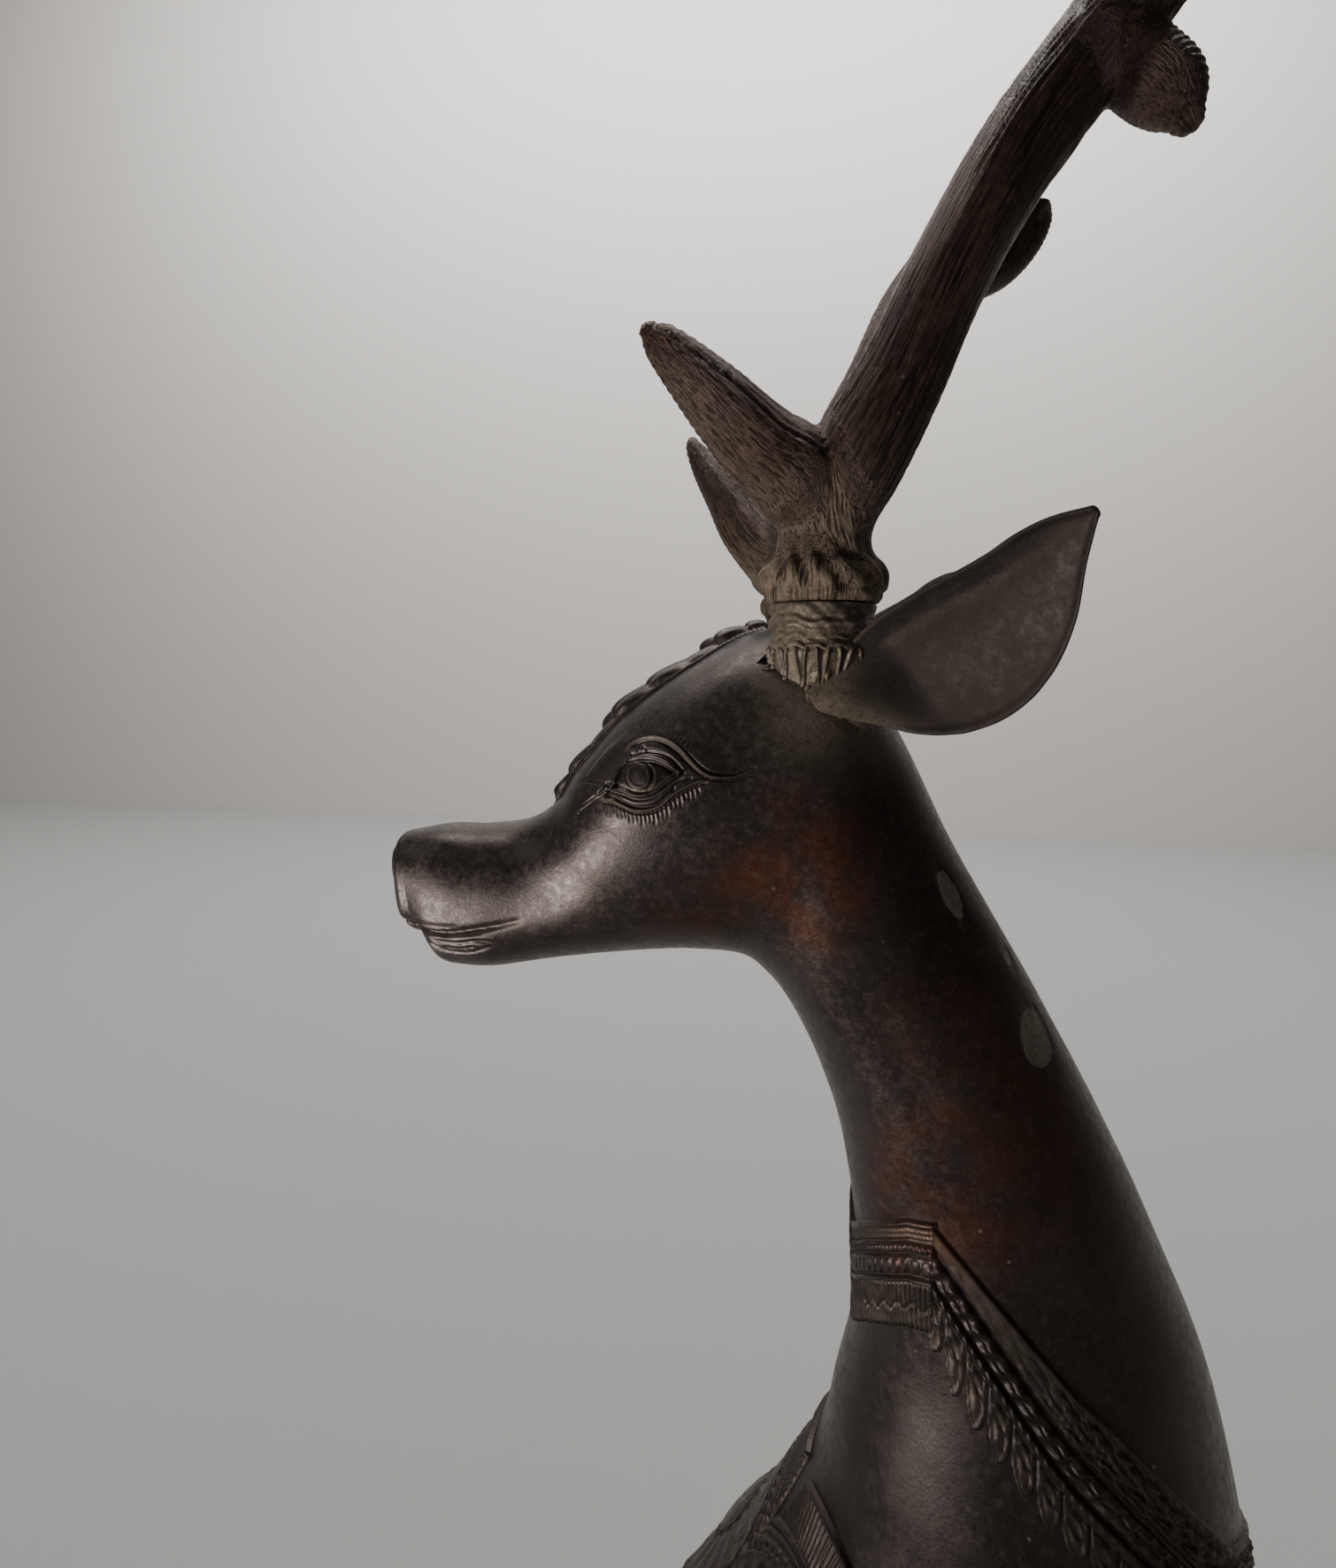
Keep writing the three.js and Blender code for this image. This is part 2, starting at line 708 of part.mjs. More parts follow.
// Antler: burr, trunk, main beam, brow tine, rear tine and the plain end of the beam.
function antler(side) {
  const far = side > 0;
  const foot = SEAT_TOP_Z + SEAM_GAP - (far ? FAR_SEAT_DROP : 0);
  const place = (x, out, rise) => [x, side * out, foot + rise];
  const burr = BURR_PROFILE.map(([rise, radius]) => {
    const ring = [];
    for (let k = 0; k < BURR_SIDES; k += 1) {
      const angle = (2 * Math.PI * k) / BURR_SIDES;
      const lump = 1 + BURR_LUMP * Math.cos(BURR_LUMPS * angle) * Math.sin((Math.PI * rise) / BURR_HEIGHT);
      const x = SEAT_X + radius * lump * Math.cos(angle);
      const y = side * SEAT_HALF_GAP + radius * lump * Math.sin(angle);
      ring.push(new THREE.Vector3(x, y, foot + rise));
    }
    return ring;
  });
  const beam = limb(
    BEAM.map(([x, out, rise, radius], i) => {
      const forward = far ? FAR_BEAM_FORWARD[i] : 0;
      return { at: place(x - forward, out, rise), radius };
    }),
    BEAM_STEPS,
    BEAM_SIDES,
  );
  const tine = (rows, steps) => {
    const stops = rows.map(([x, out, rise, radius]) => ({ at: place(x, out, rise), radius }));
    return limb(stops, steps, TINE_SIDES);
  };
  const brow = tine(far ? FAR_BROW_TINE : BROW_TINE, BROW_STEPS);
  const rear = tine(far ? FAR_REAR_TINE : REAR_TINE, REAR_STEPS);
  return union([solidFromRings(burr), beam, brow, rear]);
}

function bust() {
  const whole = union([
    torso(),
    ...forelock(),
    seat(-1),
    seat(1),
    ear(-1),
    ear(1),
    collar(),
    band(-1),
    band(1),
    roundel(-1),
    roundel(1),
  ]);
  return whole;
}

const deer = new THREE.Group();
deer.add(toMesh(bust(), 'bust', bronze));
deer.add(toMesh(antler(-1), 'antler_left', antlerBronze));
deer.add(toMesh(antler(1), 'antler_right', antlerBronze));
const reach = new THREE.Box3().setFromObject(deer);
deer.position.set(-(reach.min.x + reach.max.x) / 2, -(reach.min.y + reach.max.y) / 2, 0);

export default deer;
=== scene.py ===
# A bronze deer's head and chest: the cast bust with its chasing, and the two antlers.
# Metres in the frame of the solids. Places on the deer are in millimetres,
# x measured back from a plumb line near the eye and z up from the flat underside.
import bpy
import bmesh
import json
import math
import numpy as np
from mathutils import Matrix, Vector
from mathutils.bvhtree import BVHTree

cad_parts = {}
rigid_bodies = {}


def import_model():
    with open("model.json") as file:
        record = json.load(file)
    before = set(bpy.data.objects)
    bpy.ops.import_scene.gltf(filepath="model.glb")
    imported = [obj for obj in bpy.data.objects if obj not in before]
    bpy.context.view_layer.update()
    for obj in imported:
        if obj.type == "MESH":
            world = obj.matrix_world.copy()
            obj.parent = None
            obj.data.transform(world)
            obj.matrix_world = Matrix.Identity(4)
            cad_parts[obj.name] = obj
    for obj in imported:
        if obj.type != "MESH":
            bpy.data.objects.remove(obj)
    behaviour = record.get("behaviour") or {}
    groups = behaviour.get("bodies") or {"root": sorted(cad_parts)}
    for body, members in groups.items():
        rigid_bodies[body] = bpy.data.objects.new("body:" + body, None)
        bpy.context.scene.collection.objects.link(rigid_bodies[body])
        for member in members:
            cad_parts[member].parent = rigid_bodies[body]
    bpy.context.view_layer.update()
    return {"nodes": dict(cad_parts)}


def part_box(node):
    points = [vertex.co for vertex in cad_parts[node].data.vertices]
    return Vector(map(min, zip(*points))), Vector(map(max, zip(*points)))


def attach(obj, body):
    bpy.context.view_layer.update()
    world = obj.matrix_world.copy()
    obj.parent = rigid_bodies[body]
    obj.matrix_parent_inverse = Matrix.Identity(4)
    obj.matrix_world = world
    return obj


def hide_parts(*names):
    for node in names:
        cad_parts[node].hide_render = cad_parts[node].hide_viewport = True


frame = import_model()
MM = 0.001
NOSE_AHEAD = 138.44
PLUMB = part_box("bust")[0].x / MM + NOSE_AHEAD

# Head, neck and chest: lower or front line (x, z), upper or back line (x, z),
# half width, where the widest place is and how square the section is.
STATIONS = np.array([
    (-122, 353, -134, 404, 21, 0.50, 2.7), (-110, 339, -114, 408, 27, 0.48, 2.6),
    (-86, 339, -92, 409, 31, 0.45, 2.4), (-59, 344, -70, 413, 34, 0.45, 2.3),
    (-34, 348, -53, 425, 40, 0.50, 2.2), (-10, 351, -40, 446, 47, 0.55, 2.1),
    (12, 353, -17, 473, 53, 0.58, 2.1), (30, 353, 15, 496, 56, 0.60, 2.1),
    (42, 351, 50, 511, 57, 0.60, 2.1), (51, 344, 88, 500, 56, 0.55, 2.0),
    (60, 334, 114, 460, 54, 0.50, 2.0), (69, 319, 137, 413, 51, 0.50, 2.0),
    (78, 300, 160, 373, 50, 0.50, 2.0), (87, 275, 184, 331, 52, 0.52, 2.0),
    (93, 247, 208, 285, 56, 0.54, 2.0), (96.5, 217, 230, 238, 61, 0.55, 2.0),
    (96.5, 180, 251, 185, 69, 0.55, 2.0), (88, 141, 264, 125, 79, 0.54, 2.0),
    (78, 102, 271, 79, 86, 0.54, 2.0), (46, 52, 277, 38, 93, 0.54, 2.0),
    (2, 0, 281, 0, 98, 0.54, 2.0),
])
MUZZLE_FACE = (-136.15, 380)
MUZZLE_LEAN = 0.12
MUZZLE_CORNER = 10
MUZZLE_DOME = 1.3

# Swells and hollows of the head in the side view: x, z, size, how many times longer than high, rise.
HEAD_SWELLS = [(30, 405, 26, 1.5, 1.6), (-45, 388, 16, 1.6, -1.4), (-5, 446, 20, 1.5, 1.2)]
CROWN_SWELL = (74, 479, 22, 8.0)
CROWN_DUST = (78, 480, 27, 0.8)
# A cord and a hollow down the side of the throat: line, rise, width.
THROAT_LINES = [([(60, 372), (88, 330), (108, 292), (124, 256)], 1.5, 12),
                ([(82, 366), (108, 326), (130, 290)], -1.0, 9)]
MOUTH_SLIT = [(-134, 362), (-118, 359.4), (-105, 359.6), (-92, 362.2), (-80, 365.4), (-66, 369.8)]
MOUTH_BACK = -64
UPPER_LIP_LINE = [(-134, 365), (-116, 363.4), (-104, 363.6), (-95, 364.8)]
UPPER_LIP_BACK = -92
LIP_LEAF = [[(-119, 355), (-106, 350.5), (-92, 351.5), (-76, 357.5)],
            [(-113, 355.5), (-99, 355.2), (-87, 358), (-76, 357.5)],
            [(-108, 353), (-97, 352.8), (-86, 356)]]
# The nostril on the face of the nose, as y and z.
NOSTRIL = [(6.0, 379), (9.0, 382), (12.5, 387), (12.0, 392.5), (8.5, 394)]
# Pale cleaned spots on the near side of the neck: x, z, half length, half width, tilt in degrees.
CLEANED_SPOTS = [(132, 392, 11, 4.0, 62), (160, 362, 3.4, 1.6, 60), (169, 331, 12.5, 7.4, 66)]

SEAT_X = 74
SEAT_OUT = 38
SEAT_TOP = 520
SEAT_RADIUS = 23.5
FAR_SEAT_DROP = 7
SEAM = 0.3
# Each seat's rings: distance below its top, share of the radius, how far the middle moves inwards.
SEAT_ROWS = [(0, 0.98, 0), (0.4, 0.99, 0), (5, 0.97, 0), (9, 1.02, 0), (14, 0.97, 0), (22, 1.04, 1),
             (36, 0.96, 7), (50, 0.84, 12), (66, 0.6, 16)]
# Wrinkles round a seat: distance below its top and depth.
SEAT_WRINKLES = [(6.0, 1.0), (9.5, 0.7), (13.5, 1.3)]

# Ears: the reach above and below the line from root to tip, at even steps along it.
EAR_ROOT = (72, 47, 480)
EAR_TIP = (167, 96, 550)
EAR_CUP = 8
EAR_WALL = 5
EAR_ROOT_BULGE = 9
EAR_UPPER = [8, 8, 11, 13, 13, 12, 10.5, 9.5, 9.5, 7.5, 2.4]
EAR_LOWER = [12, 23, 36, 44, 48, 48.5, 45.5, 39, 29, 15, 2.8]

# Antler limbs as x, y and radius at heights over the seam: (x, y, height, radius).
BEAM = np.array([
    (74, 38, 8, 22), (75, 42, 36, 20), (86, 47, 62, 21.5), (104, 53, 96, 19),
    (124, 60, 140, 17.5), (148, 66, 182, 17.5), (175, 70, 218, 18), (201, 73, 252, 16.5),
    (222, 76, 288, 12.5), (233, 78, 323, 8), (237, 79, 342.5, 3.5),
], float)
BROW_TINE = np.array([
    (80, 40, 32, 20), (63, 47, 54, 22), (46.5, 56, 65.5, 18.5), (35, 62, 75.5, 16),
    (24.5, 67, 85.5, 14), (9.6, 73, 99.5, 10), (2.5, 76, 106, 7.2), (-0.5, 77, 108.6, 4.5),
], float)
REAR_TINE = np.array([
    (178, 70, 220, 17), (190, 71, 208, 15.5), (199, 72, 198, 14.5), (204, 73, 190, 11), (207, 73, 185, 6.5),
], float)
FAR_BEAM_FORWARD = np.array([0, 0, 8, 16, 16, 21, 22, 20, 10, 7, 6], float)
FAR_BROW_TINE = np.array([
    (80, 40, 20, 18), (66, 46, 27, 20), (56, 52, 37, 19), (38, 60, 57, 16),
    (25, 66, 78, 12.5), (13, 72, 95, 9), (5, 76, 108, 5.5), (3, 78, 113, 3.5),
], float)
FAR_REAR_TINE = np.array([
    (150, 68, 200, 15), (170, 70, 206, 14), (185, 71, 218, 12), (196, 72, 231, 8), (200, 73, 241, 4),
], float)
# The burr as height over the seam and radius.
BURR = np.array([(0, 23.8), (4, 25.5), (9, 27), (15, 26.5), (21, 22)], float)


# ---------------------------------------------------------------- small tools
def at(x, y, z):
    """Metres in the frame for a place in millimetres on the deer."""
    x, y, z = np.broadcast_arrays(np.asarray(x) + PLUMB, y, z)
    return np.stack([x * MM, y * MM, z * MM], -1)


def side_view(points):
    """Millimetres back from the plumb line and up from the underside."""
    return points[..., 0] / MM - PLUMB, points[..., 2] / MM


def spline(rows, index):
    """Rows of values read at fractional places on a smooth curve through them."""
    rows = np.asarray(rows, float)
    index = np.clip(np.asarray(index, float), 0, len(rows) - 1)
    ends = np.concatenate([[2 * rows[0] - rows[1]], rows, [2 * rows[-1] - rows[-2]]])
    i = np.minimum(index.astype(int), len(rows) - 2)
    f = (index - i).reshape(index.shape + (1,) * (rows.ndim - 1))
    a, b, c, d = ends[i], ends[i + 1], ends[i + 2], ends[i + 3]
    return b + 0.5 * f * (c - a + f * (2 * a - 5 * b + 4 * c - d + f * (3 * b - a - 3 * c + d)))


def step(a, b, x):
    """0 at a and before it, 1 at b and after it, with a smooth run between."""
    t = np.clip((x - a) / (b - a), 0, 1)
    return t * t * (3 - 2 * t)


def unit(v):
    return v / np.maximum(np.linalg.norm(v, axis=-1, keepdims=True), 1e-12)


def bump(d, width):
    """1 at no distance, falling softly to 0 over a few widths."""
    return np.exp(-(d / width) ** 2)


def rough(points, size, seed=0):
    """Soft random swell of the given size in millimetres, from summed waves."""
    rng = np.random.default_rng(seed)
    p = points / (MM * size)
    total = np.zeros(p.shape[:-1])
    for _ in range(9):
        way = unit(rng.normal(size=3)) * rng.uniform(1.6, 3.4)
        total += np.sin(p @ way + rng.uniform(0, 6.28) + 1.3 * np.sin(p @ (way[::-1] * 0.6)))
    return total / 4.5


def stroke(x, z, points, steps=50):
    """Distance from each place to a smooth line through points, and the share along it."""
    points = np.asarray(points, float)
    line = spline(points, np.linspace(0, len(points) - 1, steps))
    best = np.full(x.shape, 1e9)
    share = np.zeros(x.shape)
    for k in range(len(line) - 1):
        a, b = line[k], line[k + 1]
        way = b - a
        t = np.clip(((x - a[0]) * way[0] + (z - a[1]) * way[1]) / (way @ way + 1e-9), 0, 1)
        d = np.hypot(x - a[0] - t * way[0], z - a[1] - t * way[1])
        near = d < best
        best = np.where(near, d, best)
        share = np.where(near, (k + t) / (len(line) - 1), share)
    return best, share


def tapered(share, ends=0.12):
    """1 along the middle of a stroke, falling to 0 at both ends."""
    return step(0, ends, share) * step(0, ends, 1 - share)


def surface_ways(grid, round_way=False):
    """Unit way out of a grid of points, rows by columns."""
    if round_way:
        around = np.roll(grid, -1, 1) - np.roll(grid, 1, 1)
    else:
        around = np.gradient(grid, axis=1)
    along = np.gradient(grid, axis=0)
    return unit(np.cross(around, along))


def even(start, end, cols, rows):
    """Even steps from column to column, the same in every row."""
    return np.linspace(start, end, cols)[None, :] * np.ones((rows, 1))


def blurred(grid, times):
    for _ in range(times):
        core = grid.copy()
        core[1:-1] = (grid[:-2] + 2 * grid[1:-1] + grid[2:]) / 4
        grid = core.copy()
        grid[:, 1:-1] = (core[:, :-2] + 2 * core[:, 1:-1] + core[:, 2:]) / 4
    return grid


def only(obj):
    bpy.ops.object.select_all(action="DESELECT")
    obj.select_set(True)
    bpy.context.view_layer.objects.active = obj


def join_up(parts, name):
    """One object of several parts, under one name."""
    only(parts[0])
    for part in parts:
        part.select_set(True)
    bpy.ops.object.join()
    whole = bpy.context.object
    whole.name = whole.data.name = name
    return whole


def sheet_of_metal(name, grid, dust=None, bare=None, dull=None):
    """A grid primitive whose points are drawn onto rows of places, then merged and closed.

    dust, bare and dull say how dusty, how cleaned and how matt the bronze is at each place."""
    rows, cols = grid.shape[:2]
    bpy.ops.object.select_all(action="DESELECT")
    bpy.ops.mesh.primitive_grid_add(x_subdivisions=cols - 1, y_subdivisions=rows - 1, size=2)
    obj = bpy.context.object
    obj.name = obj.data.name = name
    count = rows * cols
    co = np.zeros(count * 3, np.float32)
    obj.data.vertices.foreach_get("co", co)
    co = co.reshape(-1, 3)
    order = np.lexsort((np.round(co[:, 0], 5), np.round(co[:, 1], 5)))
    placed = np.zeros((count, 3), np.float32)
    placed[order] = grid.reshape(-1, 3)
    obj.data.vertices.foreach_set("co", placed.ravel())
    for label, amount in (("dust", dust), ("bare", bare), ("dull", dull)):
        if amount is not None:
            worn = np.zeros(count, np.float32)
            worn[order] = np.clip(amount, 0, 1).ravel()
            layer = obj.data.attributes.new(label, "FLOAT", "POINT")
            layer.data.foreach_set("value", worn)
    obj.data.update()
    only(obj)
    bpy.ops.object.mode_set(mode="EDIT")
    bpy.ops.mesh.select_mode(type="VERT")
    bpy.ops.mesh.select_all(action="SELECT")
    bpy.ops.mesh.remove_doubles(threshold=2e-6)
    bpy.ops.mesh.fill_holes(sides=0)
    bpy.ops.mesh.normals_make_consistent(inside=False)
    bpy.ops.object.mode_set(mode="OBJECT")
    bpy.ops.object.shade_smooth()
    return obj


# ---------------------------------------------------------------- head, neck and chest
def ring_places(index, angle):
    s = spline(STATIONS, index)
    fx, fz, bx, bz, half, widest, square = [s[:, k:k + 1] for k in range(7)]
    rise = np.cos(angle)[None, :]
    bulge = np.sign(rise) * np.abs(rise) ** (2 / square)
    share = np.where(bulge < 0, widest * (1 + bulge), widest + (1 - widest) * bulge)
    span = np.where(share < widest, widest, 1 - widest)
    reach = np.clip(np.abs(share - widest) / span, 0, 1)
    side = -np.sign(np.sin(angle))[None, :] * half * (1 - reach ** square) ** (1 / square)
    return fx + (bx - fx) * share, side, fz + (bz - fz) * share


AROUND = 228
angle = np.linspace(0, 2 * np.pi, AROUND + 1)
muzzle_rows = np.linspace(0, 1, 26)[:-1]
index_rows = np.concatenate([np.linspace(0, 3, 50)[:-1], np.linspace(3, 10, 76)[:-1],
                             np.linspace(10, 20, 92)])
x, y, z = ring_places(index_rows, angle)
x0, y0, z0 = x[:1], y[:1], z[:1]
scale = np.sin(muzzle_rows * np.pi / 2)[:, None]
qz = MUZZLE_FACE[1] + (z0 - MUZZLE_FACE[1]) * scale
lean = MUZZLE_LEAN * (MUZZLE_FACE[1] - qz)
shift = 1 - np.sqrt(1 - scale ** MUZZLE_CORNER)
face_x = MUZZLE_FACE[0] + (x0 - MUZZLE_FACE[0] - lean) * shift + lean
face_x = face_x + MUZZLE_DOME * scale ** 2 * (1 - shift)
head = at(np.concatenate([face_x, x]), np.concatenate([y0 * scale, y]), np.concatenate([qz, z]))
head[:, -1] = head[:, 0]


def crown_dust(grid):
    """The dusty ground on the crown between the antler seat and the ear."""
    x, z = side_view(grid)
    mid_x, mid_z, size, most = CROWN_DUST
    far = np.hypot(x - mid_x, z - mid_z) + 2.5 * rough(grid, 12, 6)
    return most * bump(far, size) * step(18, 34, np.abs(grid[..., 1]) / MM)


def carve_head(grid):
    """The forms and cuts that are broad enough for the body itself."""
    ways = surface_ways(grid, True)
    ways[:, 0] = ways[:, -1] = unit(ways[:, 1] + ways[:, -2])
    if np.median(np.sum(ways * (grid - grid.mean(1, keepdims=True)), -1)) < 0:
        ways = -ways
    x, z = side_view(grid)
    y = np.abs(grid[..., 1]) / MM
    side = step(8, 16, y)
    rise = np.zeros(x.shape)
    dust = np.zeros(x.shape)
    bare = np.zeros(x.shape)
    # cheek: a swell over the jaw joint, a hollow before it and a swell under the eye
    for mid_x, mid_z, size, long, high in HEAD_SWELLS:
        rise += high * bump(np.hypot((x - mid_x) / long, z - mid_z), size) * side
    # the crown fills out under each antler seat, and is dusty there
    mid_x, mid_z, size, high = CROWN_SWELL
    rise += high * bump(np.hypot(x - mid_x, z - mid_z), size) * step(14, 34, y)
    dust += crown_dust(grid)
    for line, high, wide in THROAT_LINES:
        d, t = stroke(x, z, line)
        rise += high * bump(d, wide) * tapered(t, 0.3) * side
    # mouth: a slit that narrows backwards, and a fine second line above it
    d, t = stroke(x, z, MOUTH_SLIT)
    open_mouth = step(0, 0.35, 1 - t)
    rise -= (2.6 * bump(d, 1.1) + 0.6 * bump(d, 2.6)) * (0.25 + 0.75 * open_mouth) * (x < MOUTH_BACK)
    dust += 0.12 * bump(d, 2.0) * (x < MOUTH_BACK)
    d, t = stroke(x, z, UPPER_LIP_LINE)
    rise -= 0.6 * bump(d, 0.9) * tapered(t, 0.2) * (x < UPPER_LIP_BACK)
    # lower lip: set a little back, with the outline and the vein of a small pointed leaf
    rise -= step(362, 357, z) * step(-88, -104, x)
    for line in LIP_LEAF:
        d, t = stroke(x, z, line)
        rise -= 0.9 * bump(d, 0.8) * tapered(t, 0.2)
        rise += 0.4 * bump(d - 1.7, 0.8) * tapered(t, 0.2)
    # nostrils: two comma cuts in the flat of the nose, each with a soft rim
    nose = step(-126, -131, x)
    d, t = stroke(y, z, NOSTRIL, 24)
    rise -= 3.2 * bump(d, 1.7) * (1 - 0.6 * t) * nose
    rise += 0.8 * bump(d - 3.2, 1.1) * nose
    dust += 0.4 * bump(d, 1.4) * nose
    for spot_x, spot_z, long, wide, tilt in CLEANED_SPOTS:
        c, s = math.cos(math.radians(tilt)), math.sin(math.radians(tilt))
        dx, dz = x - spot_x, z - spot_z
        far = np.hypot((dx * c - dz * s) / long, (dx * s + dz * c) / wide)
        spot = np.clip(1.5 - far - 0.12 * rough(grid, 9, 5), 0, 1) * (grid[..., 1] < 0)
        rise -= 0.7 * step(0.45, 0.6, spot)
        bare = np.maximum(bare, spot)
    # faint hammering all over
    rise += 0.16 * rough(grid, 26, 1) + 0.07 * rough(grid, 9, 2)
    rise *= step(0.5, 3, z)
    return grid + ways * (rise * MM)[..., None], dust, bare


head, head_dust, head_bare = carve_head(head)
head[..., 2] = np.maximum(head[..., 2], 0)
bust = sheet_of_metal("deer_head_and_neck", head, head_dust, head_bare)

body = bmesh.new()
body.from_mesh(bust.data)
skin = BVHTree.FromBMesh(body)
body.free()


def laid(origins, ways):
    """Where rays from the origins meet the body."""
    flat_o, flat_w = origins.reshape(-1, 3), np.broadcast_to(ways, origins.shape).reshape(-1, 3)
    out = np.zeros_like(flat_o)
    for i in range(len(flat_o)):
        hit = skin.ray_cast(flat_o[i], flat_w[i])[0]
        out[i] = hit if hit is not None else skin.find_nearest(flat_o[i])[0]
    return out.reshape(origins.shape)


# Reliefs: how far their ground stands off the body in millimetres, how many times deeper than the
# border the back lies, its rows to one of the front's, and the way off the underside in metres.
RELIEF_GAP = 0.04
RELIEF_BACK = 1.6
BACK_ROWS = 14
UNDERSIDE_GAP = 0.0004


def framed(places):
    """The places kept off the underside, with one more row and column on every side."""
    places[..., 2] = np.maximum(places[..., 2], UNDERSIDE_GAP)
    return np.pad(places, ((1, 1), (1, 1), (0, 0)), mode="edge")


def relief(name, origins, ways, chase, fade=(8, 8), sink=0.03, smoothing=3, depth=3):
    """Chased work laid on the body: a fine sheet whose border runs in under the surface.

    fade is the border's width in rows and columns, sink how far it goes under, and depth where the
    rim of the closed sheet lies."""
    grid = blurred(laid(origins, ways), smoothing)
    outward = surface_ways(grid)
    if np.median(np.sum(outward * np.broadcast_to(ways, grid.shape), -1)) > 0:
        outward = -outward
    rise, dust = chase(grid)
    rows, cols = rise.shape
    i, j = np.mgrid[0:rows, 0:cols]
    edge = np.minimum(step(0, fade[0], np.minimum(i, rows - 1 - i)),
                      step(0, fade[1], np.minimum(j, cols - 1 - j)))
    total = (rise + RELIEF_GAP) * edge - sink * (1 - edge)
    closed = framed(grid + outward * (total * MM)[..., None])
    rim = framed(grid - outward * (depth * MM))
    for border in [(0, slice(None)), (-1, slice(None)), (slice(None), 0), (slice(None), -1)]:
        closed[border] = rim[border]
    back = framed(grid - outward * (RELIEF_BACK * depth * MM))
    order = np.linspace(rows + 1, 0, 3 + rows // BACK_ROWS).astype(int)
    dust = np.pad(dust, 1, mode="edge")
    return sheet_of_metal(name, np.concatenate([closed, back[order], closed[:1]]),
                          np.concatenate([dust, dust[order], dust[:1]]))


# ---------------------------------------------------------------- eyes
BROW_LINE = [(-12.3, 453.3), (-8.6, 457.1), (-1.5, 459.5), (5.6, 458.5), (11.9, 455.1), (17.2, 450.5),
             (21.6, 446.8), (25.6, 444.7), (30.5, 444.1), (36.8, 444.8), (42.1, 446.9), (45.6, 449.0)]
LID_CREASE = [(-10.5, 450.6), (-9.0, 451.7), (-1.5, 453.2), (6.5, 452.2), (11.4, 449.0), (14.2, 445.6)]
UPPER_LID = [(-17.6, 436.6), (-17.0, 439.0), (-15.2, 443.8), (-11.2, 448.6), (-5.0, 450.6), (2.1, 450.4),
             (7.4, 448.6), (12.8, 445.0)]
LOWER_LID = [(12.8, 445.0), (7.4, 440.9), (3.0, 437.2), (-1.5, 435.0), (-6.8, 434.4), (-11.2, 435.6),
             (-17.6, 436.6)]
UNDER_LID = [(-24.6, 431.5), (-17.5, 431.2), (-13.0, 430.0), (-6.8, 428.2), (0.3, 429.0), (5.6, 431.6),
             (9.2, 435.2), (14.5, 438.8), (20.8, 441.9), (25.6, 443.2)]
TEAR_UPPER = [(-19.6, 441.0), (-24.1, 434.8), (-26.4, 431.3)]
TEAR_DUCT = [(-17.8, 436.6), (-22.5, 433.0), (-26.4, 430.6), (-31.7, 426.6), (-37.2, 423.0)]
OUTER_CORNER = [(9.6, 436.6), (11.0, 440.4), (14.6, 442.6), (19.0, 443.4)]
LID_CURL = [(-7.6, 453.2), (-6.6, 455.0), (-4.2, 455.2), (-3.2, 453.6), (-5.0, 452.9)]
# Middle and radius.
IRIS = (-4.8, 442.7, 5.9)
PUPIL = [(-1.2, 448.2), (1.2, 444.2), (0.4, 439.8), (-2.4, 437.0)]
# Raised lines round the eye: line, rise and width, then the depth, width and offset of the groove
# beside it, and the share of the line that tapers at each end.
EYE_LINES = [(LID_CREASE, -0.8, 0.55, -0.5, 0.6, 1.1, 0.12), (BROW_LINE, 1.3, 0.6, 0.9, 0.5, 1.3, 0.1),
             (UNDER_LID, 1.3, 0.6, 0.8, 0.5, 1.3, 0.08), (TEAR_DUCT, 1.1, 0.75, 0.7, 0.5, 1.3, 0.15),
             (TEAR_UPPER, 1.1, 0.9, 0, 1, 0, 0.25), (OUTER_CORNER, -0.6, 0.5, 0, 1, 0, 0.12)]
# Lashes: the line that they grow from and the gap to it, how many, place of the first, pitch, depth,
# how much their lengths differ, and the run of a lash as steps along and up.
LASHES = [(UNDER_LID, -1.8, 26, -27, 1.9, 0.42, 2 / 9, [(0, 0), (0.7, -2.7), (0.5, -5.4)]),
          (BROW_LINE, 1.8, 15, -9, 1.7, 0.35, 0, [(0, 0), (1.4, 2.2), (3.4, 4.2)])]


def inside_eye(x, z):
    """How far a place lies between the lids, less than 0 outside them."""
    top = np.interp(x, *zip(*UPPER_LID[1:]))
    low = np.interp(x, *zip(*LOWER_LID[::-1]))
    return np.minimum(top - z, z - low)


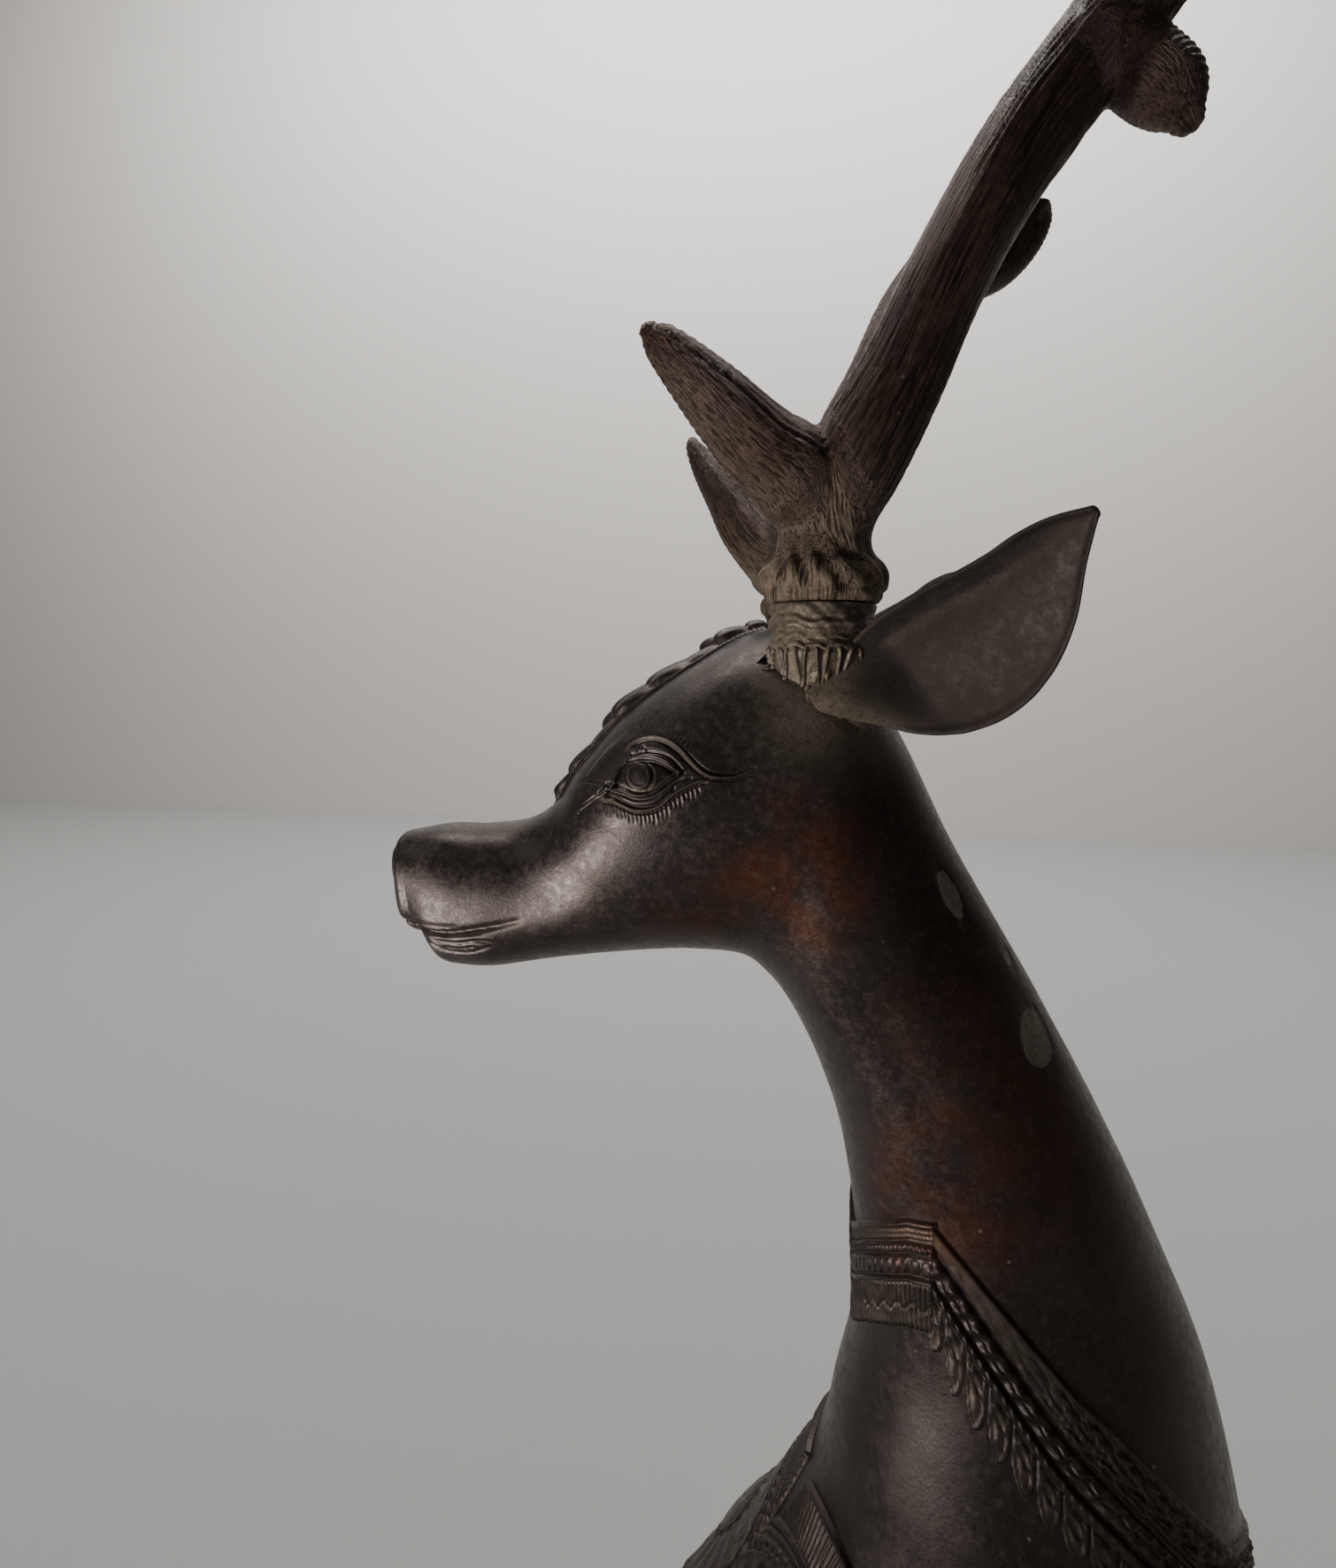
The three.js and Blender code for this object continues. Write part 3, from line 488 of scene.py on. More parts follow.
def chase_eye(grid):
    """Eyeball with its iris, lids, tear duct, brow line and lashes."""
    x, z = side_view(grid)
    # a soft swell carries the eye, so that the cuts stay above the skin of the head
    rise = 0.8 * step(1.0, 0.55, np.hypot((x - 1) / 43, (z - 440) / 25))
    depth = inside_eye(x, z)
    ball = step(-0.3, 0.9, depth)
    far = np.hypot((x - IRIS[0]) / 1.45, z - IRIS[1])
    rise -= 1.0 * ball
    rise += 2.3 * ball * np.sqrt(np.clip(1 - (far / 11.0) ** 2, 0, 1))
    iris = np.hypot(x - IRIS[0], z - IRIS[1])
    rise -= 0.75 * bump(iris - IRIS[2], 0.55) * ball
    rise += 0.35 * bump(iris - IRIS[2] + 1.1, 0.6) * ball
    d, t = stroke(x, z, PUPIL)
    rise -= 0.7 * bump(d, 0.5) * ball * tapered(t)
    dust = 0.35 * bump(iris - IRIS[2], 0.6) * ball
    d, t = stroke(x, z, UPPER_LID)
    rise += 1.5 * bump(d, 0.75)
    rise -= 1.1 * bump(d - 1.7, 0.55) * step(-0.4, 0.4, depth)
    d, t = stroke(x, z, LOWER_LID)
    rise += 1.4 * bump(d, 0.7)
    rise -= 0.8 * bump(d - 1.6, 0.5)
    dust += 0.25 * bump(d - 1.6, 0.6)
    for line, high, wide, deep, groove, aside, ends in EYE_LINES:
        d, t = stroke(x, z, line)
        rise += (high * bump(d, wide) - deep * bump(d - aside, groove)) * tapered(t, ends)
    rise += 0.7 * bump(stroke(x, z, LID_CURL)[0], 0.5)
    dust += 0.25 * bump(stroke(x, z, BROW_LINE)[0], 0.8)
    # a dusty line under the eye, with a soft pad over it
    d, t = stroke(x, z, UNDER_LID)
    pad = step(-18, -12, x) * step(12, 4, x) * step(0.5, -1.5, depth) * step(429, 431, z)
    rise += 0.5 * step(0, 3.5, d) * step(7, 3.5, d) * pad
    dust += 0.35 * bump(d, 1.1)
    for line, gap, count, first, pitch, deep, uneven, run in LASHES:
        for k in range(count):
            place = first + pitch * k
            height = np.interp(place, *zip(*line)) + gap
            grow = 1 + uneven * math.sin(2.2 * k)
            d, t = stroke(x, z, [(place + along, height + up * grow) for along, up in run], 5)
            rise -= deep * bump(d, 0.5) * step(0, 0.5, 1 - t)
    return rise, dust + crown_dust(grid)


def side_window(left, right, side, pitch, low_line, high_line):
    """Rays straight in from one side over a window between two lines of the side view."""
    xs = np.linspace(left, right, int((right - left) / pitch))
    lows = np.interp(xs, *low_line)
    highs = np.interp(xs, *high_line)
    v = np.linspace(0, 1, int(np.max(highs - lows) / pitch))[:, None]
    return at(xs[None, :], side * 200, lows + (highs - lows) * v), np.array([0, -side, 0.0])


# The windows' lower and upper lines, as places along and heights.
EYE_WINDOW = (([-46, -20, 0, 54], [416, 413, 412, 424]), ([-46, -36, -24, -12, 54], [428, 438, 454, 466, 468]))

for side, name in ((-1, "left_eye"), (1, "right_eye")):
    origins, ways = side_window(-44, 52, side, 0.44, *EYE_WINDOW)
    relief(name, origins, ways, chase_eye, (11, 11))


# ---------------------------------------------------------------- forelock
# The middle line in the side view, and half the fan of rays across it, in degrees, at stops along it.
FORELOCK = np.array([(-58, 421), (-46, 434), (-36, 451), (-20, 470), (0, 487), (20, 500), (38, 508),
                     (52, 511)], float)
FORELOCK_FAN = ([0, 1, 2, 4, 7], [22, 30, 34, 38, 38])
LOCKS = 8


def ridge_rays(line, spread, rows, cols, deep=42, reach=90):
    """Rays on to the forehead, fanned in to a line that lies deep under its middle line."""
    t = np.linspace(0, len(line) - 1, rows)
    ridge = spline(line, t)
    way = unit(spline(line, np.minimum(t + 0.05, len(line) - 1)) - spline(line, np.maximum(t - 0.05, 0)))
    out = np.stack([-way[:, 1], way[:, 0]], 1)
    centre = ridge - out * deep
    fan = np.linspace(-1, 1, cols)[None, :] * np.interp(t, *spread)[:, None]
    lift, across = np.cos(np.radians(fan)), np.sin(np.radians(fan))
    dx, dz = out[:, :1] * lift, out[:, 1:] * lift
    ways = np.stack([dx, across, dz], -1)
    return at(centre[:, :1], 0, centre[:, 1:]) + ways * reach * MM, -ways


def chase_forelock(grid):
    rows, cols = grid.shape[:2]
    s = even(0, 1, rows, cols).T
    y = grid[..., 1] / MM
    rise = np.zeros(s.shape)
    half = 6 + 13 * step(0.0, 0.35, s) * step(1.15, 0.5, s)
    across = np.abs(y) / half
    for k in range(LOCKS + 1):
        for turn in (-1, 1):
            mid_s = 0.04 + (k + 0.25 * turn) * 0.95 / LOCKS
            mid_y = turn * half * 0.42
            u = (s - mid_s) / (0.78 / LOCKS)
            w = (y - mid_y) / (half * 0.62)
            shape = np.clip(1 - (np.abs(u) ** 2.4 + np.abs(w) ** 2.4), 0, 1) ** 0.32
            uneven = 0.75 + 0.45 * math.sin(2.1 * k + 1.3 * turn) + 0.25 * mid_s
            crest = (3.4 + 3.0 * np.clip(-u, -1, 1)) * uneven
            veins = 0.7 * np.cos(9.5 * w + 3.0 * u * turn)
            rise = np.maximum(rise, shape * (crest + veins * (shape > 0.4)))
    border = step(1.10, 0.98, across)
    rise = rise * border
    rise += 1.5 * bump(np.abs(y) - half * 1.12, 0.7) * step(0.0, 0.1, s) * step(1.0, 0.95, s)
    rise -= 0.5 * bump(np.abs(y) - half * 1.22, 0.6)
    return rise, 0.35 * border * step(2.0, 0.6, rise)


origins, ways = ridge_rays(FORELOCK, FORELOCK_FAN, 180, 88)
relief("forelock", origins, ways, chase_forelock)


# ---------------------------------------------------------------- antler seats
def seat_top(side):
    return SEAT_TOP - (FAR_SEAT_DROP if side > 0 else 0)


def seat(side, name):
    """The wrinkled stem on the crown that an antler stands on."""
    rows, cols = 90, 164
    v = np.linspace(0, 1, rows)[:, None]
    turn = np.linspace(0, 2 * np.pi, cols)[None, :]
    downs, shares, moves = zip(*SEAT_ROWS)
    below = downs[-1] * (1 - v) + 0 * turn
    top = seat_top(side)
    height = top - below
    radius = np.interp(below, downs, shares) * SEAT_RADIUS
    inward = np.interp(below, downs, moves)
    wave = 2.0 * np.sin(2 * turn + 0.7) + 1.1 * np.sin(5 * turn + 1.0) + 0.6 * np.sin(11 * turn)
    wrinkle = np.zeros(height.shape)
    for down, deep in SEAT_WRINKLES:
        wrinkle += deep * bump(down - below - wave * 0.7, 0.9)
    ways = np.stack([np.cos(turn) + 0 * v, np.sin(turn) + 0 * v, 0 * turn + 0 * v], -1)
    places = at(SEAT_X, side * (SEAT_OUT - inward), height) + ways * (radius * MM)[..., None]
    crust = (0.45 * rough(places, 2.6, 12) + 0.25 * rough(places, 1.3, 13)) * step(24, 14, below)
    swell = (0.6 * rough(places, 6, 11) + crust - wrinkle) * step(0, 1.5, below)
    places = places + ways * (swell * MM)[..., None]
    places[:, -1] = places[:, 0]
    return sheet_of_metal(name, places, (0.5 + 0.3 * wrinkle) * step(60, 34, below))


seats = [seat(-1, "left_antler_seat"), seat(1, "right_antler_seat")]
# from here on the rays meet the seats as well
joined = bmesh.new()
for part in [bust] + seats:
    joined.from_mesh(part.data)
skin = BVHTree.FromBMesh(joined)
joined.free()


# Pointed leaves that hang from a scalloped line round each seat: turn from straight out in degrees,
# length, half width and how far the point leans forward, in millimetres.
SEPALS = [(-66, 10, 3.0, 4), (-46, 10.5, 3.2, 3), (-25, 11, 3.3, 2), (-3, 11, 3.3, 1), (19, 11, 3.3, 0),
          (40, 10.5, 3.2, -1), (60, 10, 3.0, -1)]
SEPAL_LINE = 20
SEPAL_SLOPE = math.radians(38)
# How far outside the seat the rays start, in metres, and how deep a leaf's sheet is in millimetres.
SEPAL_START = 0.014
SEPAL_DEEP = 1.2


def sepal_frame(turn, side):
    """Ways out, down the slope and round the seat at a turn."""
    turn = np.radians(np.asarray(turn, float))
    out = np.stack([np.sin(turn), side * np.cos(turn), 0 * turn], -1)
    up = np.array([0, 0, 1.0])
    toward = out * math.cos(SEPAL_SLOPE) + up * math.sin(SEPAL_SLOPE)
    down = out * math.sin(SEPAL_SLOPE) - up * math.cos(SEPAL_SLOPE)
    return out, toward, down, unit(np.cross(toward, down))


def chase_leaf(along, across, long, half):
    """A hollow pointed leaf with a raised rim."""
    def chase(grid):
        width = half * np.clip(1 - along / long, 0, 1) ** 0.95
        inside = step(0.15, -0.35, np.abs(across) - width) * (along < long) * step(-1.5, 0, along)
        ridge = np.clip(1 - np.abs(across) / np.maximum(width, 0.05), 0, 1)
        hollow = step(0.25, 0.7, ridge)
        return inside * (1.8 - 1.3 * hollow) - 0.6 * (1 - inside), inside * (0.85 - 0.8 * hollow)
    return chase


def chase_sepal_line(turns, below):
    """The scalloped line that the leaves hang from."""
    def chase(grid):
        w = below + 1.4 * np.abs(np.sin(np.radians(turns * 8.6)))
        rise = 1.4 * bump(w, 0.8) + 1.0 * bump(w + 3.6, 0.6) + 0.2 * rough(grid, 2.6, 21)
        rise -= 0.9 * bump(w + 1.8, 0.6) * (0.5 + 0.5 * np.cos(np.radians(turns * 26)))
        off = np.abs(w + 1.8)
        return rise * step(3.6, 2.2, off) - 0.5 * step(2.6, 4.2, off), 0.75 + 0 * w
    return chase


def sepals(side, name):
    def foot(out):
        return at(SEAT_X, side * (SEAT_OUT - 1), seat_top(side) - SEPAL_LINE) + out * (SEAT_RADIUS + 0.5) * MM

    parts = []
    cols, rows = 19, 26
    for turn, long, half, lean in SEPALS:
        out, toward, down, round_way = sepal_frame(turn, side)
        if round_way[0] > 0:
            round_way = -round_way
        along = even(-2, long + 1.5, rows, cols).T
        across = even(-half - 1.2, half + 1.2, cols, rows)
        leaning = down + round_way * lean / long
        places = foot(out) + (along[..., None] * leaning + across[..., None] * round_way) * MM
        parts.append(relief(name, places + toward * SEPAL_START, -toward, chase_leaf(along, across, long, half),
                            (2, 2), 0.7, 6, SEPAL_DEEP))
    cols, rows = 230, 20
    turns = even(-78, 68, cols, rows)
    below = even(5, -9, rows, cols).T
    out, toward, down, round_way = sepal_frame(turns, side)
    places = foot(out) + below[..., None] * down * MM
    parts.append(relief(name, places + toward * SEPAL_START, -toward, chase_sepal_line(turns, below),
                        (2, 3), 0.5, 4, SEPAL_DEEP))
    join_up(parts, name)


sepals(-1, "left_sepals")
sepals(1, "right_sepals")


# ---------------------------------------------------------------- collar and bands
# Upper rims: turn about an upright line inside the neck, counted from straight ahead, and height.
# The strip's depth goes with the turn too; the other depths are in millimetres below the rim.
COLLAR_AXIS = 150
COLLAR_RIM = ([0, 6, 13, 18, 36, 50, 64], [222, 225, 229.7, 233.5, 244.6, 252.5, 256.5])
COLLAR_DEEP = 47
BAND_AXIS = 185
BAND_RIM = ([36, 46, 52.5, 62, 72, 82, 92, 103.5, 115, 129, 136, 180],
            [257, 244.5, 236.4, 225.6, 214.3, 203.2, 194.4, 181.9, 166.9, 148.8, 138.5, 112])
BAND_STRIP = ([36, 55, 75, 100], [10, 14, 19, 22])
BAND_DEEP = 56
BAND_ROPE = 13
BAND_RIDGE = 6
LOBE = 12.4


def round_neck(axis_x, turns, heights, reach=0.19):
    """Rays level inwards to an upright line inside the neck."""
    t = np.radians(turns)
    out = np.stack([-np.cos(t), np.sin(t), 0 * t], -1)
    return at(axis_x, 0, heights) + out * reach, -out


def length_run(grid):
    """Millimetres walked along each row."""
    return np.cumsum(np.linalg.norm(np.diff(grid, axis=1, prepend=grid[:, :1]), axis=-1), 1) / MM


def rounded(x, middle, half):
    """The section of a half-round moulding."""
    return np.sqrt(np.clip(1 - ((x - middle) / half) ** 2, 0, 1))


def trimmed(rise, inside):
    """Chasing inside its outline, and ground that lies under the skin outside it."""
    return rise * inside - 0.5 * (1 - inside)


def from_ahead(turns):
    """Turns counted from straight ahead on either side."""
    return np.where(turns > 180, 360 - turns, turns)


def chase_collar(turns):
    def chase(grid):
        below = np.interp(np.abs(turns), *COLLAR_RIM) - grid[..., 2] / MM
        run = length_run(grid)
        middle = run.shape[1] // 2
        run = run - run[:, middle:middle + 1]
        ends = step(64, 61.5, np.abs(turns))
        lower = COLLAR_DEEP + 0.8 * np.cos(run * 2.6)
        inside = step(-0.6, 0.5, below) * step(lower + 0.6, lower - 0.6, below) * ends
        rise = 1.2 + 1.0 * rounded(below, 1.2, 1.6)
        hatch = np.cos(run * 1.9 + below * 1.3) * np.cos(run * 1.9 - below * 1.3)
        rise += 0.45 * hatch * step(2.6, 3.4, below) * step(8.6, 7.6, below)
        rise -= 1.3 * bump(below - 9.2, 0.7)
        rise += (1.5 + 0.35 * np.cos(run * 2.4 + below)) * rounded(below, 12.0, 2.5)
        rise -= 1.3 * bump(below - 15.0, 0.7)
        rise += 0.9 * step(15.2, 16.2, below) * step(24.4, 23.6, below)
        bead = np.sqrt(np.clip(1 - ((run % 5.2) / 2.6 - 1) ** 2 - ((below - 20) / 3.4) ** 2, 0, 1))
        rise += 0.9 * bead
        rise -= 0.9 * bump(below - 24.6, 0.6)
        rise += 1.5 * rounded(below, 26.2, 1.2)
        pleat = step(27.0, 28.0, below)
        rise += pleat * (1.1 * np.abs(np.cos(run * 1.30 + 0.05 * below)) - 0.5 + 0.9 * step(46, 28, below))
        rise -= 0.7 * pleat * bump(below - 38 - 1.6 * np.cos(run * 0.7), 0.7)
        rise += 0.16 * rough(grid, 2.4, 31)
        return trimmed(rise, inside), 0.20 * inside * step(2.6, 1.4, rise)
    return chase


cols, rows = 232, 92
turns = even(-66, 66, cols, rows)
heights = np.interp(np.abs(turns), *COLLAR_RIM) - np.linspace(COLLAR_DEEP + 4, -4, rows)[:, None]
origins, ways = round_neck(COLLAR_AXIS, turns, heights)
relief("throat_collar", origins, ways, chase_collar(turns), (3, 3), 0.5)


def chase_band(turns):
    def chase(grid):
        turn_abs = from_ahead(turns)
        below = np.interp(turn_abs, *BAND_RIM) - grid[..., 2] / MM
        run = length_run(grid)
        run = np.minimum(run, run[:, -1:] - run)
        back = step(58, 92, turn_abs)
        strip = np.interp(turn_abs, *BAND_STRIP)
        rope_end = strip + BAND_ROPE
        ridge_end = rope_end + BAND_RIDGE
        low = BAND_DEEP - 7 * step(46, 36, turn_abs)
        lobe = (run % LOBE) / LOBE * 2 - 1
        down = np.clip((below - ridge_end) / (low - ridge_end), 0, 1.2)
        outline = np.sqrt(np.clip(1 - (np.clip(down - 0.45, 0, 1) / 0.55) ** 2, 0, 1)) * 0.93
        in_lobe = step(0.03, -0.06, np.abs(lobe) - outline)
        upper_part = step(ridge_end + 1.2, ridge_end - 0.2, below)
        inside = step(-0.5, 0.5, below) * np.maximum(upper_part, in_lobe) * step(36.4, 37.6, turn_abs)
        rise = 1.0 + 1.0 * rounded(below, 0.9, 1.1)
        in_strip = step(2.2, 3.4, below) * step(strip - 0.8, strip - 2.2, below)
        curl = run * 0.42 + 1.5 * np.sin(below * 0.42 + 0.5)
        scroll = np.sin(curl + 1.4 * np.sin(below * 0.9)) * np.cos(below * 0.62 + 1.2 * np.sin(run * 0.42))
        rise += in_strip * (0.12 + 1.15 * back) * scroll
        rise += in_strip * 0.35 * back * np.cos(run * 2.1 + 2.0 * np.sin(below * 0.5))
        rise -= 2.2 * bump(below - strip, 1.3)
        middle = strip + BAND_ROPE / 2
        twist = np.cos(0.85 * (run + 0.9 * (below - middle)))
        rise += rounded(below, middle, BAND_ROPE / 2 - 0.6) * (1.6 + 0.9 * twist + 0.5 * rough(grid, 3.4, 34))
        rise -= 0.9 * bump(below - middle - 0.6 * np.sin(run * 0.5), 0.7)
        rise -= 2.0 * bump(below - rope_end, 1.0)
        rise += rounded(below, rope_end + BAND_RIDGE / 2, BAND_RIDGE / 2) * (1.5 + 0.5 * np.cos(run * 1.5))
        hang = step(ridge_end - 0.3, ridge_end + 0.8, below)
        deep = below - ridge_end
        ring = bump(np.hypot(lobe * LOBE / 2, deep - 6.5) - 3.3, 0.8)
        fan = np.cos(9 * np.arctan2(lobe * LOBE / 2, deep - 2.0))
        rim = bump((outline - np.abs(lobe)) * LOBE / 2 - 0.9, 0.7)
        rise += hang * (0.9 * ring + 0.35 * fan * (deep > 9) + 0.9 * rim - 0.9 * bump(deep - 0.6, 0.6))
        rise += 0.22 * rough(grid, 2.6, 33)
        return trimmed(rise, inside), 0.20 * inside * step(2.2, 0.8, rise)
    return chase


cols, rows = 464, 92
turns = even(35, 325, cols, rows)
heights = np.interp(from_ahead(turns), *BAND_RIM) - np.linspace(BAND_DEEP + 4, -4, rows)[:, None]
origins, ways = round_neck(BAND_AXIS, -turns, heights, 0.2)
relief("shoulder_band", origins, ways, chase_band(turns), (3, 3), 0.5)


# ---------------------------------------------------------------- chest roundels
# The middle of a roundel, the way that it faces, and the place inside the chest that rays start from.
ROUNDEL = (45, 45, 34)
ROUNDEL_FACES = (-0.74, 0.50, 0.44)
CHEST_HEART = (150, 24, 46)
BEADS = 56


def chase_roundel(side, centre, level, up):
    def chase(grid):
        off = (grid - centre) / MM
        across, upright = off @ level, off @ up
        far = np.hypot(across, upright)
        turn = np.arctan2(upright, across)
        inside = step(80.6, 79.4, far) * step(0.2, 1.4, side * grid[..., 1] / MM)
        rise = 1.5 + 1.4 * rounded(far, 79, 1.5)
        ribs = np.abs(np.cos(turn * 80))
        rise += step(78, 76.6, far) * step(58.6, 60, far) * (1.1 * ribs - 0.6)
        rise += 1.5 * rounded(far, 57, 1.7) + 1.1 * rounded(far, 53.2, 1.3)
        rise -= 0.8 * bump(far - 55.1, 0.5) + 0.8 * bump(far - 51.4, 0.5)
        along_bead = (turn * BEADS / (2 * np.pi)) % 1 * 2 - 1
        rise += 1.5 * np.sqrt(np.clip(1 - along_bead ** 2 - ((far - 48) / 2.7) ** 2, 0, 1))
        rise += 1.2 * rounded(far, 44, 1.2)
        petals = np.abs(np.cos(turn * 10 + 0.08 * (far - 32))) - 0.5
        petals = petals - 0.5 * bump(far - 34 - 5 * np.cos(turn * 10), 1.0)
        rise += step(43, 41.5, far) * step(20, 21.5, far) * petals
        rise += 3.0 * rounded(far, 0, 19) + 1.2 * rounded(far, 20, 1.3)
        rise += 0.16 * rough(grid, 2.4, 61)
        return trimmed(rise, inside), 0.22 * inside * step(2.2, 1.0, rise)
    return chase


for side, name in ((-1, "left_chest_roundel"), (1, "right_chest_roundel")):
    out = unit(np.array(ROUNDEL_FACES) * (1, side, 1))
    level = unit(np.cross(np.array([0, 0, 1.0]), out))
    cols, rows = 236, 168
    swing = np.radians(even(-14, 82, cols, rows))
    climb = np.radians(even(-26, 60, rows, cols).T)
    outward = np.stack([-np.cos(swing) * np.cos(climb), side * np.sin(swing) * np.cos(climb), np.sin(climb)], -1)
    heart = at(CHEST_HEART[0], side * CHEST_HEART[1], CHEST_HEART[2])
    centre = at(ROUNDEL[0], side * ROUNDEL[1], ROUNDEL[2])
    found = laid(heart + 0 * outward, outward)
    chase = chase_roundel(side, centre, level, np.cross(out, level))
    relief(name, found + outward * 0.004, -outward, chase, (3, 3), 0.5)


# ---------------------------------------------------------------- ears
def ear(side, name):
    """A cupped ear: an outer and an inner face from root to tip, closed by a rounded point."""
    rows, cols = 110, 46
    t = np.linspace(0, 1, rows)[:, None]
    root = at(EAR_ROOT[0], side * EAR_ROOT[1], EAR_ROOT[2])
    tip = at(EAR_TIP[0], side * EAR_TIP[1], EAR_TIP[2])
    length = tip - root
    lengthway = unit(length)
    outward = np.array([0, side, 0.0])
    outward = unit(outward - outward @ lengthway * lengthway)
    upward = np.cross(outward, lengthway)
    upward = upward if upward[2] > 0 else -upward
    place = t[:, 0] * (len(EAR_UPPER) - 1)
    upper = spline(np.array(EAR_UPPER, float)[:, None], place)
    width = upper + spline(np.array(EAR_LOWER, float)[:, None], place)
    shut = step(0.04, 0.3, t)
    u = np.linspace(0, 1, cols)[None, :]
    bow = np.sin(np.pi * u)
    cup = EAR_CUP * width / 60
    wall = np.maximum(1.4, EAR_WALL * (0.35 + 0.65 * bow) * (1 - 0.55 * t))
    edge = (root + t[..., None] * length) + ((upper - width * u) * MM)[..., None] * upward
    rim = 1.5 * bump(np.minimum(u, 1 - u) * width - 1.2, 1.6) * shut
    fold = 1.2 * bump(u * width - 9, 3.0) * step(0.15, 0.3, t) * step(0.95, 0.6, t)
    bulge = (1 - shut) * EAR_ROOT_BULGE * bow
    back = bulge + cup * bow * shut
    front = bulge - cup * bow * shut
    outer = edge + ((-back - wall / 2) * MM)[..., None] * outward
    inner = edge + ((front + wall / 2 + rim - fold) * MM)[..., None] * outward
    ring = np.concatenate([outer, inner[:, ::-1], outer[:, :1]], 1)
    grain = 0.12 * rough(ring, 6, 41)
    ways = surface_ways(ring, True)
    ring = ring + ways * (grain * MM)[..., None]
    ring[:, -1] = ring[:, 0]
    middle = ring[-1:, :-1].mean(1, keepdims=True)
    point = [middle + (ring[-1:] - middle) * s + lengthway * 0.0016 * math.sqrt(1 - s * s)
             for s in (0.9, 0.65, 0.35, 0.1)]
    whole = np.concatenate([ring] + point)
    dust = 0.05 + 0.6 * step(0.26, 0.0, even(0, 1.02, len(whole), whole.shape[1]).T)
    return sheet_of_metal(name, whole, dust, dull=np.ones(dust.shape))


ear(-1, "left_ear")
ear(1, "right_ear")
# Folds at the root of each ear in the side view, and the window that they lie in.
EAR_FOLDS = [[(79, 499), (75, 491), (76, 484), (83, 478), (93, 473), (100, 470)],
             [(74, 494), (70, 487), (72, 480), (79, 474), (89, 469), (97, 466)],
             [(69, 490), (67, 484), (70, 477)]]
FOLD_WINDOW = (([60, 106], [468, 452]), ([60, 84, 92, 100, 106], [501, 499, 490, 479, 470]))


def chase_folds(grid):
    x, z = side_view(grid)
    rise = np.zeros(x.shape)
    nearest = np.full(x.shape, 99.0)
    for k, line in enumerate(EAR_FOLDS):
        d, t = stroke(x + 0.8 * rough(grid, 9, 74), z + 0.8 * rough(grid, 8, 75), line)
        rise += (1.6 - 0.2 * k) * bump(d, 1.4) * tapered(t, 0.3) * (0.7 + 0.45 * np.sin(t * 31 + 2 * k))
        rise -= 0.5 * bump(d - 2.6, 0.8) * tapered(t, 0.3)
        nearest = np.minimum(nearest, d + 5 * (1 - tapered(t, 0.2)))
    near = step(9, 3, nearest)
    rise += near * (0.45 * rough(grid, 4, 71) + 0.25 * rough(grid, 1.8, 72))
    return rise, np.maximum(near * (0.7 + 0.2 * rough(grid, 7, 73)), crown_dust(grid))


for side, name in ((-1, "left_ear_folds"), (1, "right_ear_folds")):
    origins, ways = side_window(60, 106, side, 0.56, *FOLD_WINDOW)
    relief(name, origins, ways, chase_folds)


# ---------------------------------------------------------------- antlers
LIMB_ROWS = 60
LIMB_AROUND = 49
BURR_TALL = BURR[-1, 0]
# Voxel of the remesh in metres, and rounds of smoothing after it.
KNIT = 0.0012
EASE = 7
# Furrows round the beam and the brow tine; the rear tine, third of the limbs, is ringed instead.
FURROWS = (42, 34)
REAR = 2
# How softly the limbs' grain runs together, in metres, and the smooth place: x, height and size.
LIMB_BLEND = 0.004
FORK = (128, 142, 34)


def limb_rows(stops, side, foot, rows, cols):
    """Rings round a tapering limb, with its middle line and the way along it."""
    i = np.linspace(0, len(stops) - 1, rows)
    line = spline(stops, i)
    middle = at(line[:, 0], side * line[:, 1], foot + line[:, 2])
    way = unit(np.gradient(middle, axis=0))
    across = np.array([0, 1.0, 0])
    rings = np.zeros((rows, cols, 3))
    turn = np.linspace(0, 2 * np.pi, cols)
    for r in range(rows):
        across = unit(across - across @ way[r] * way[r])
        other = np.cross(way[r], across)
        rings[r] = middle[r] + line[r, 3] * MM * (np.cos(turn)[:, None] * across + np.sin(turn)[:, None] * other)
    rings[:, -1] = rings[:, 0]
    return rings, middle, way


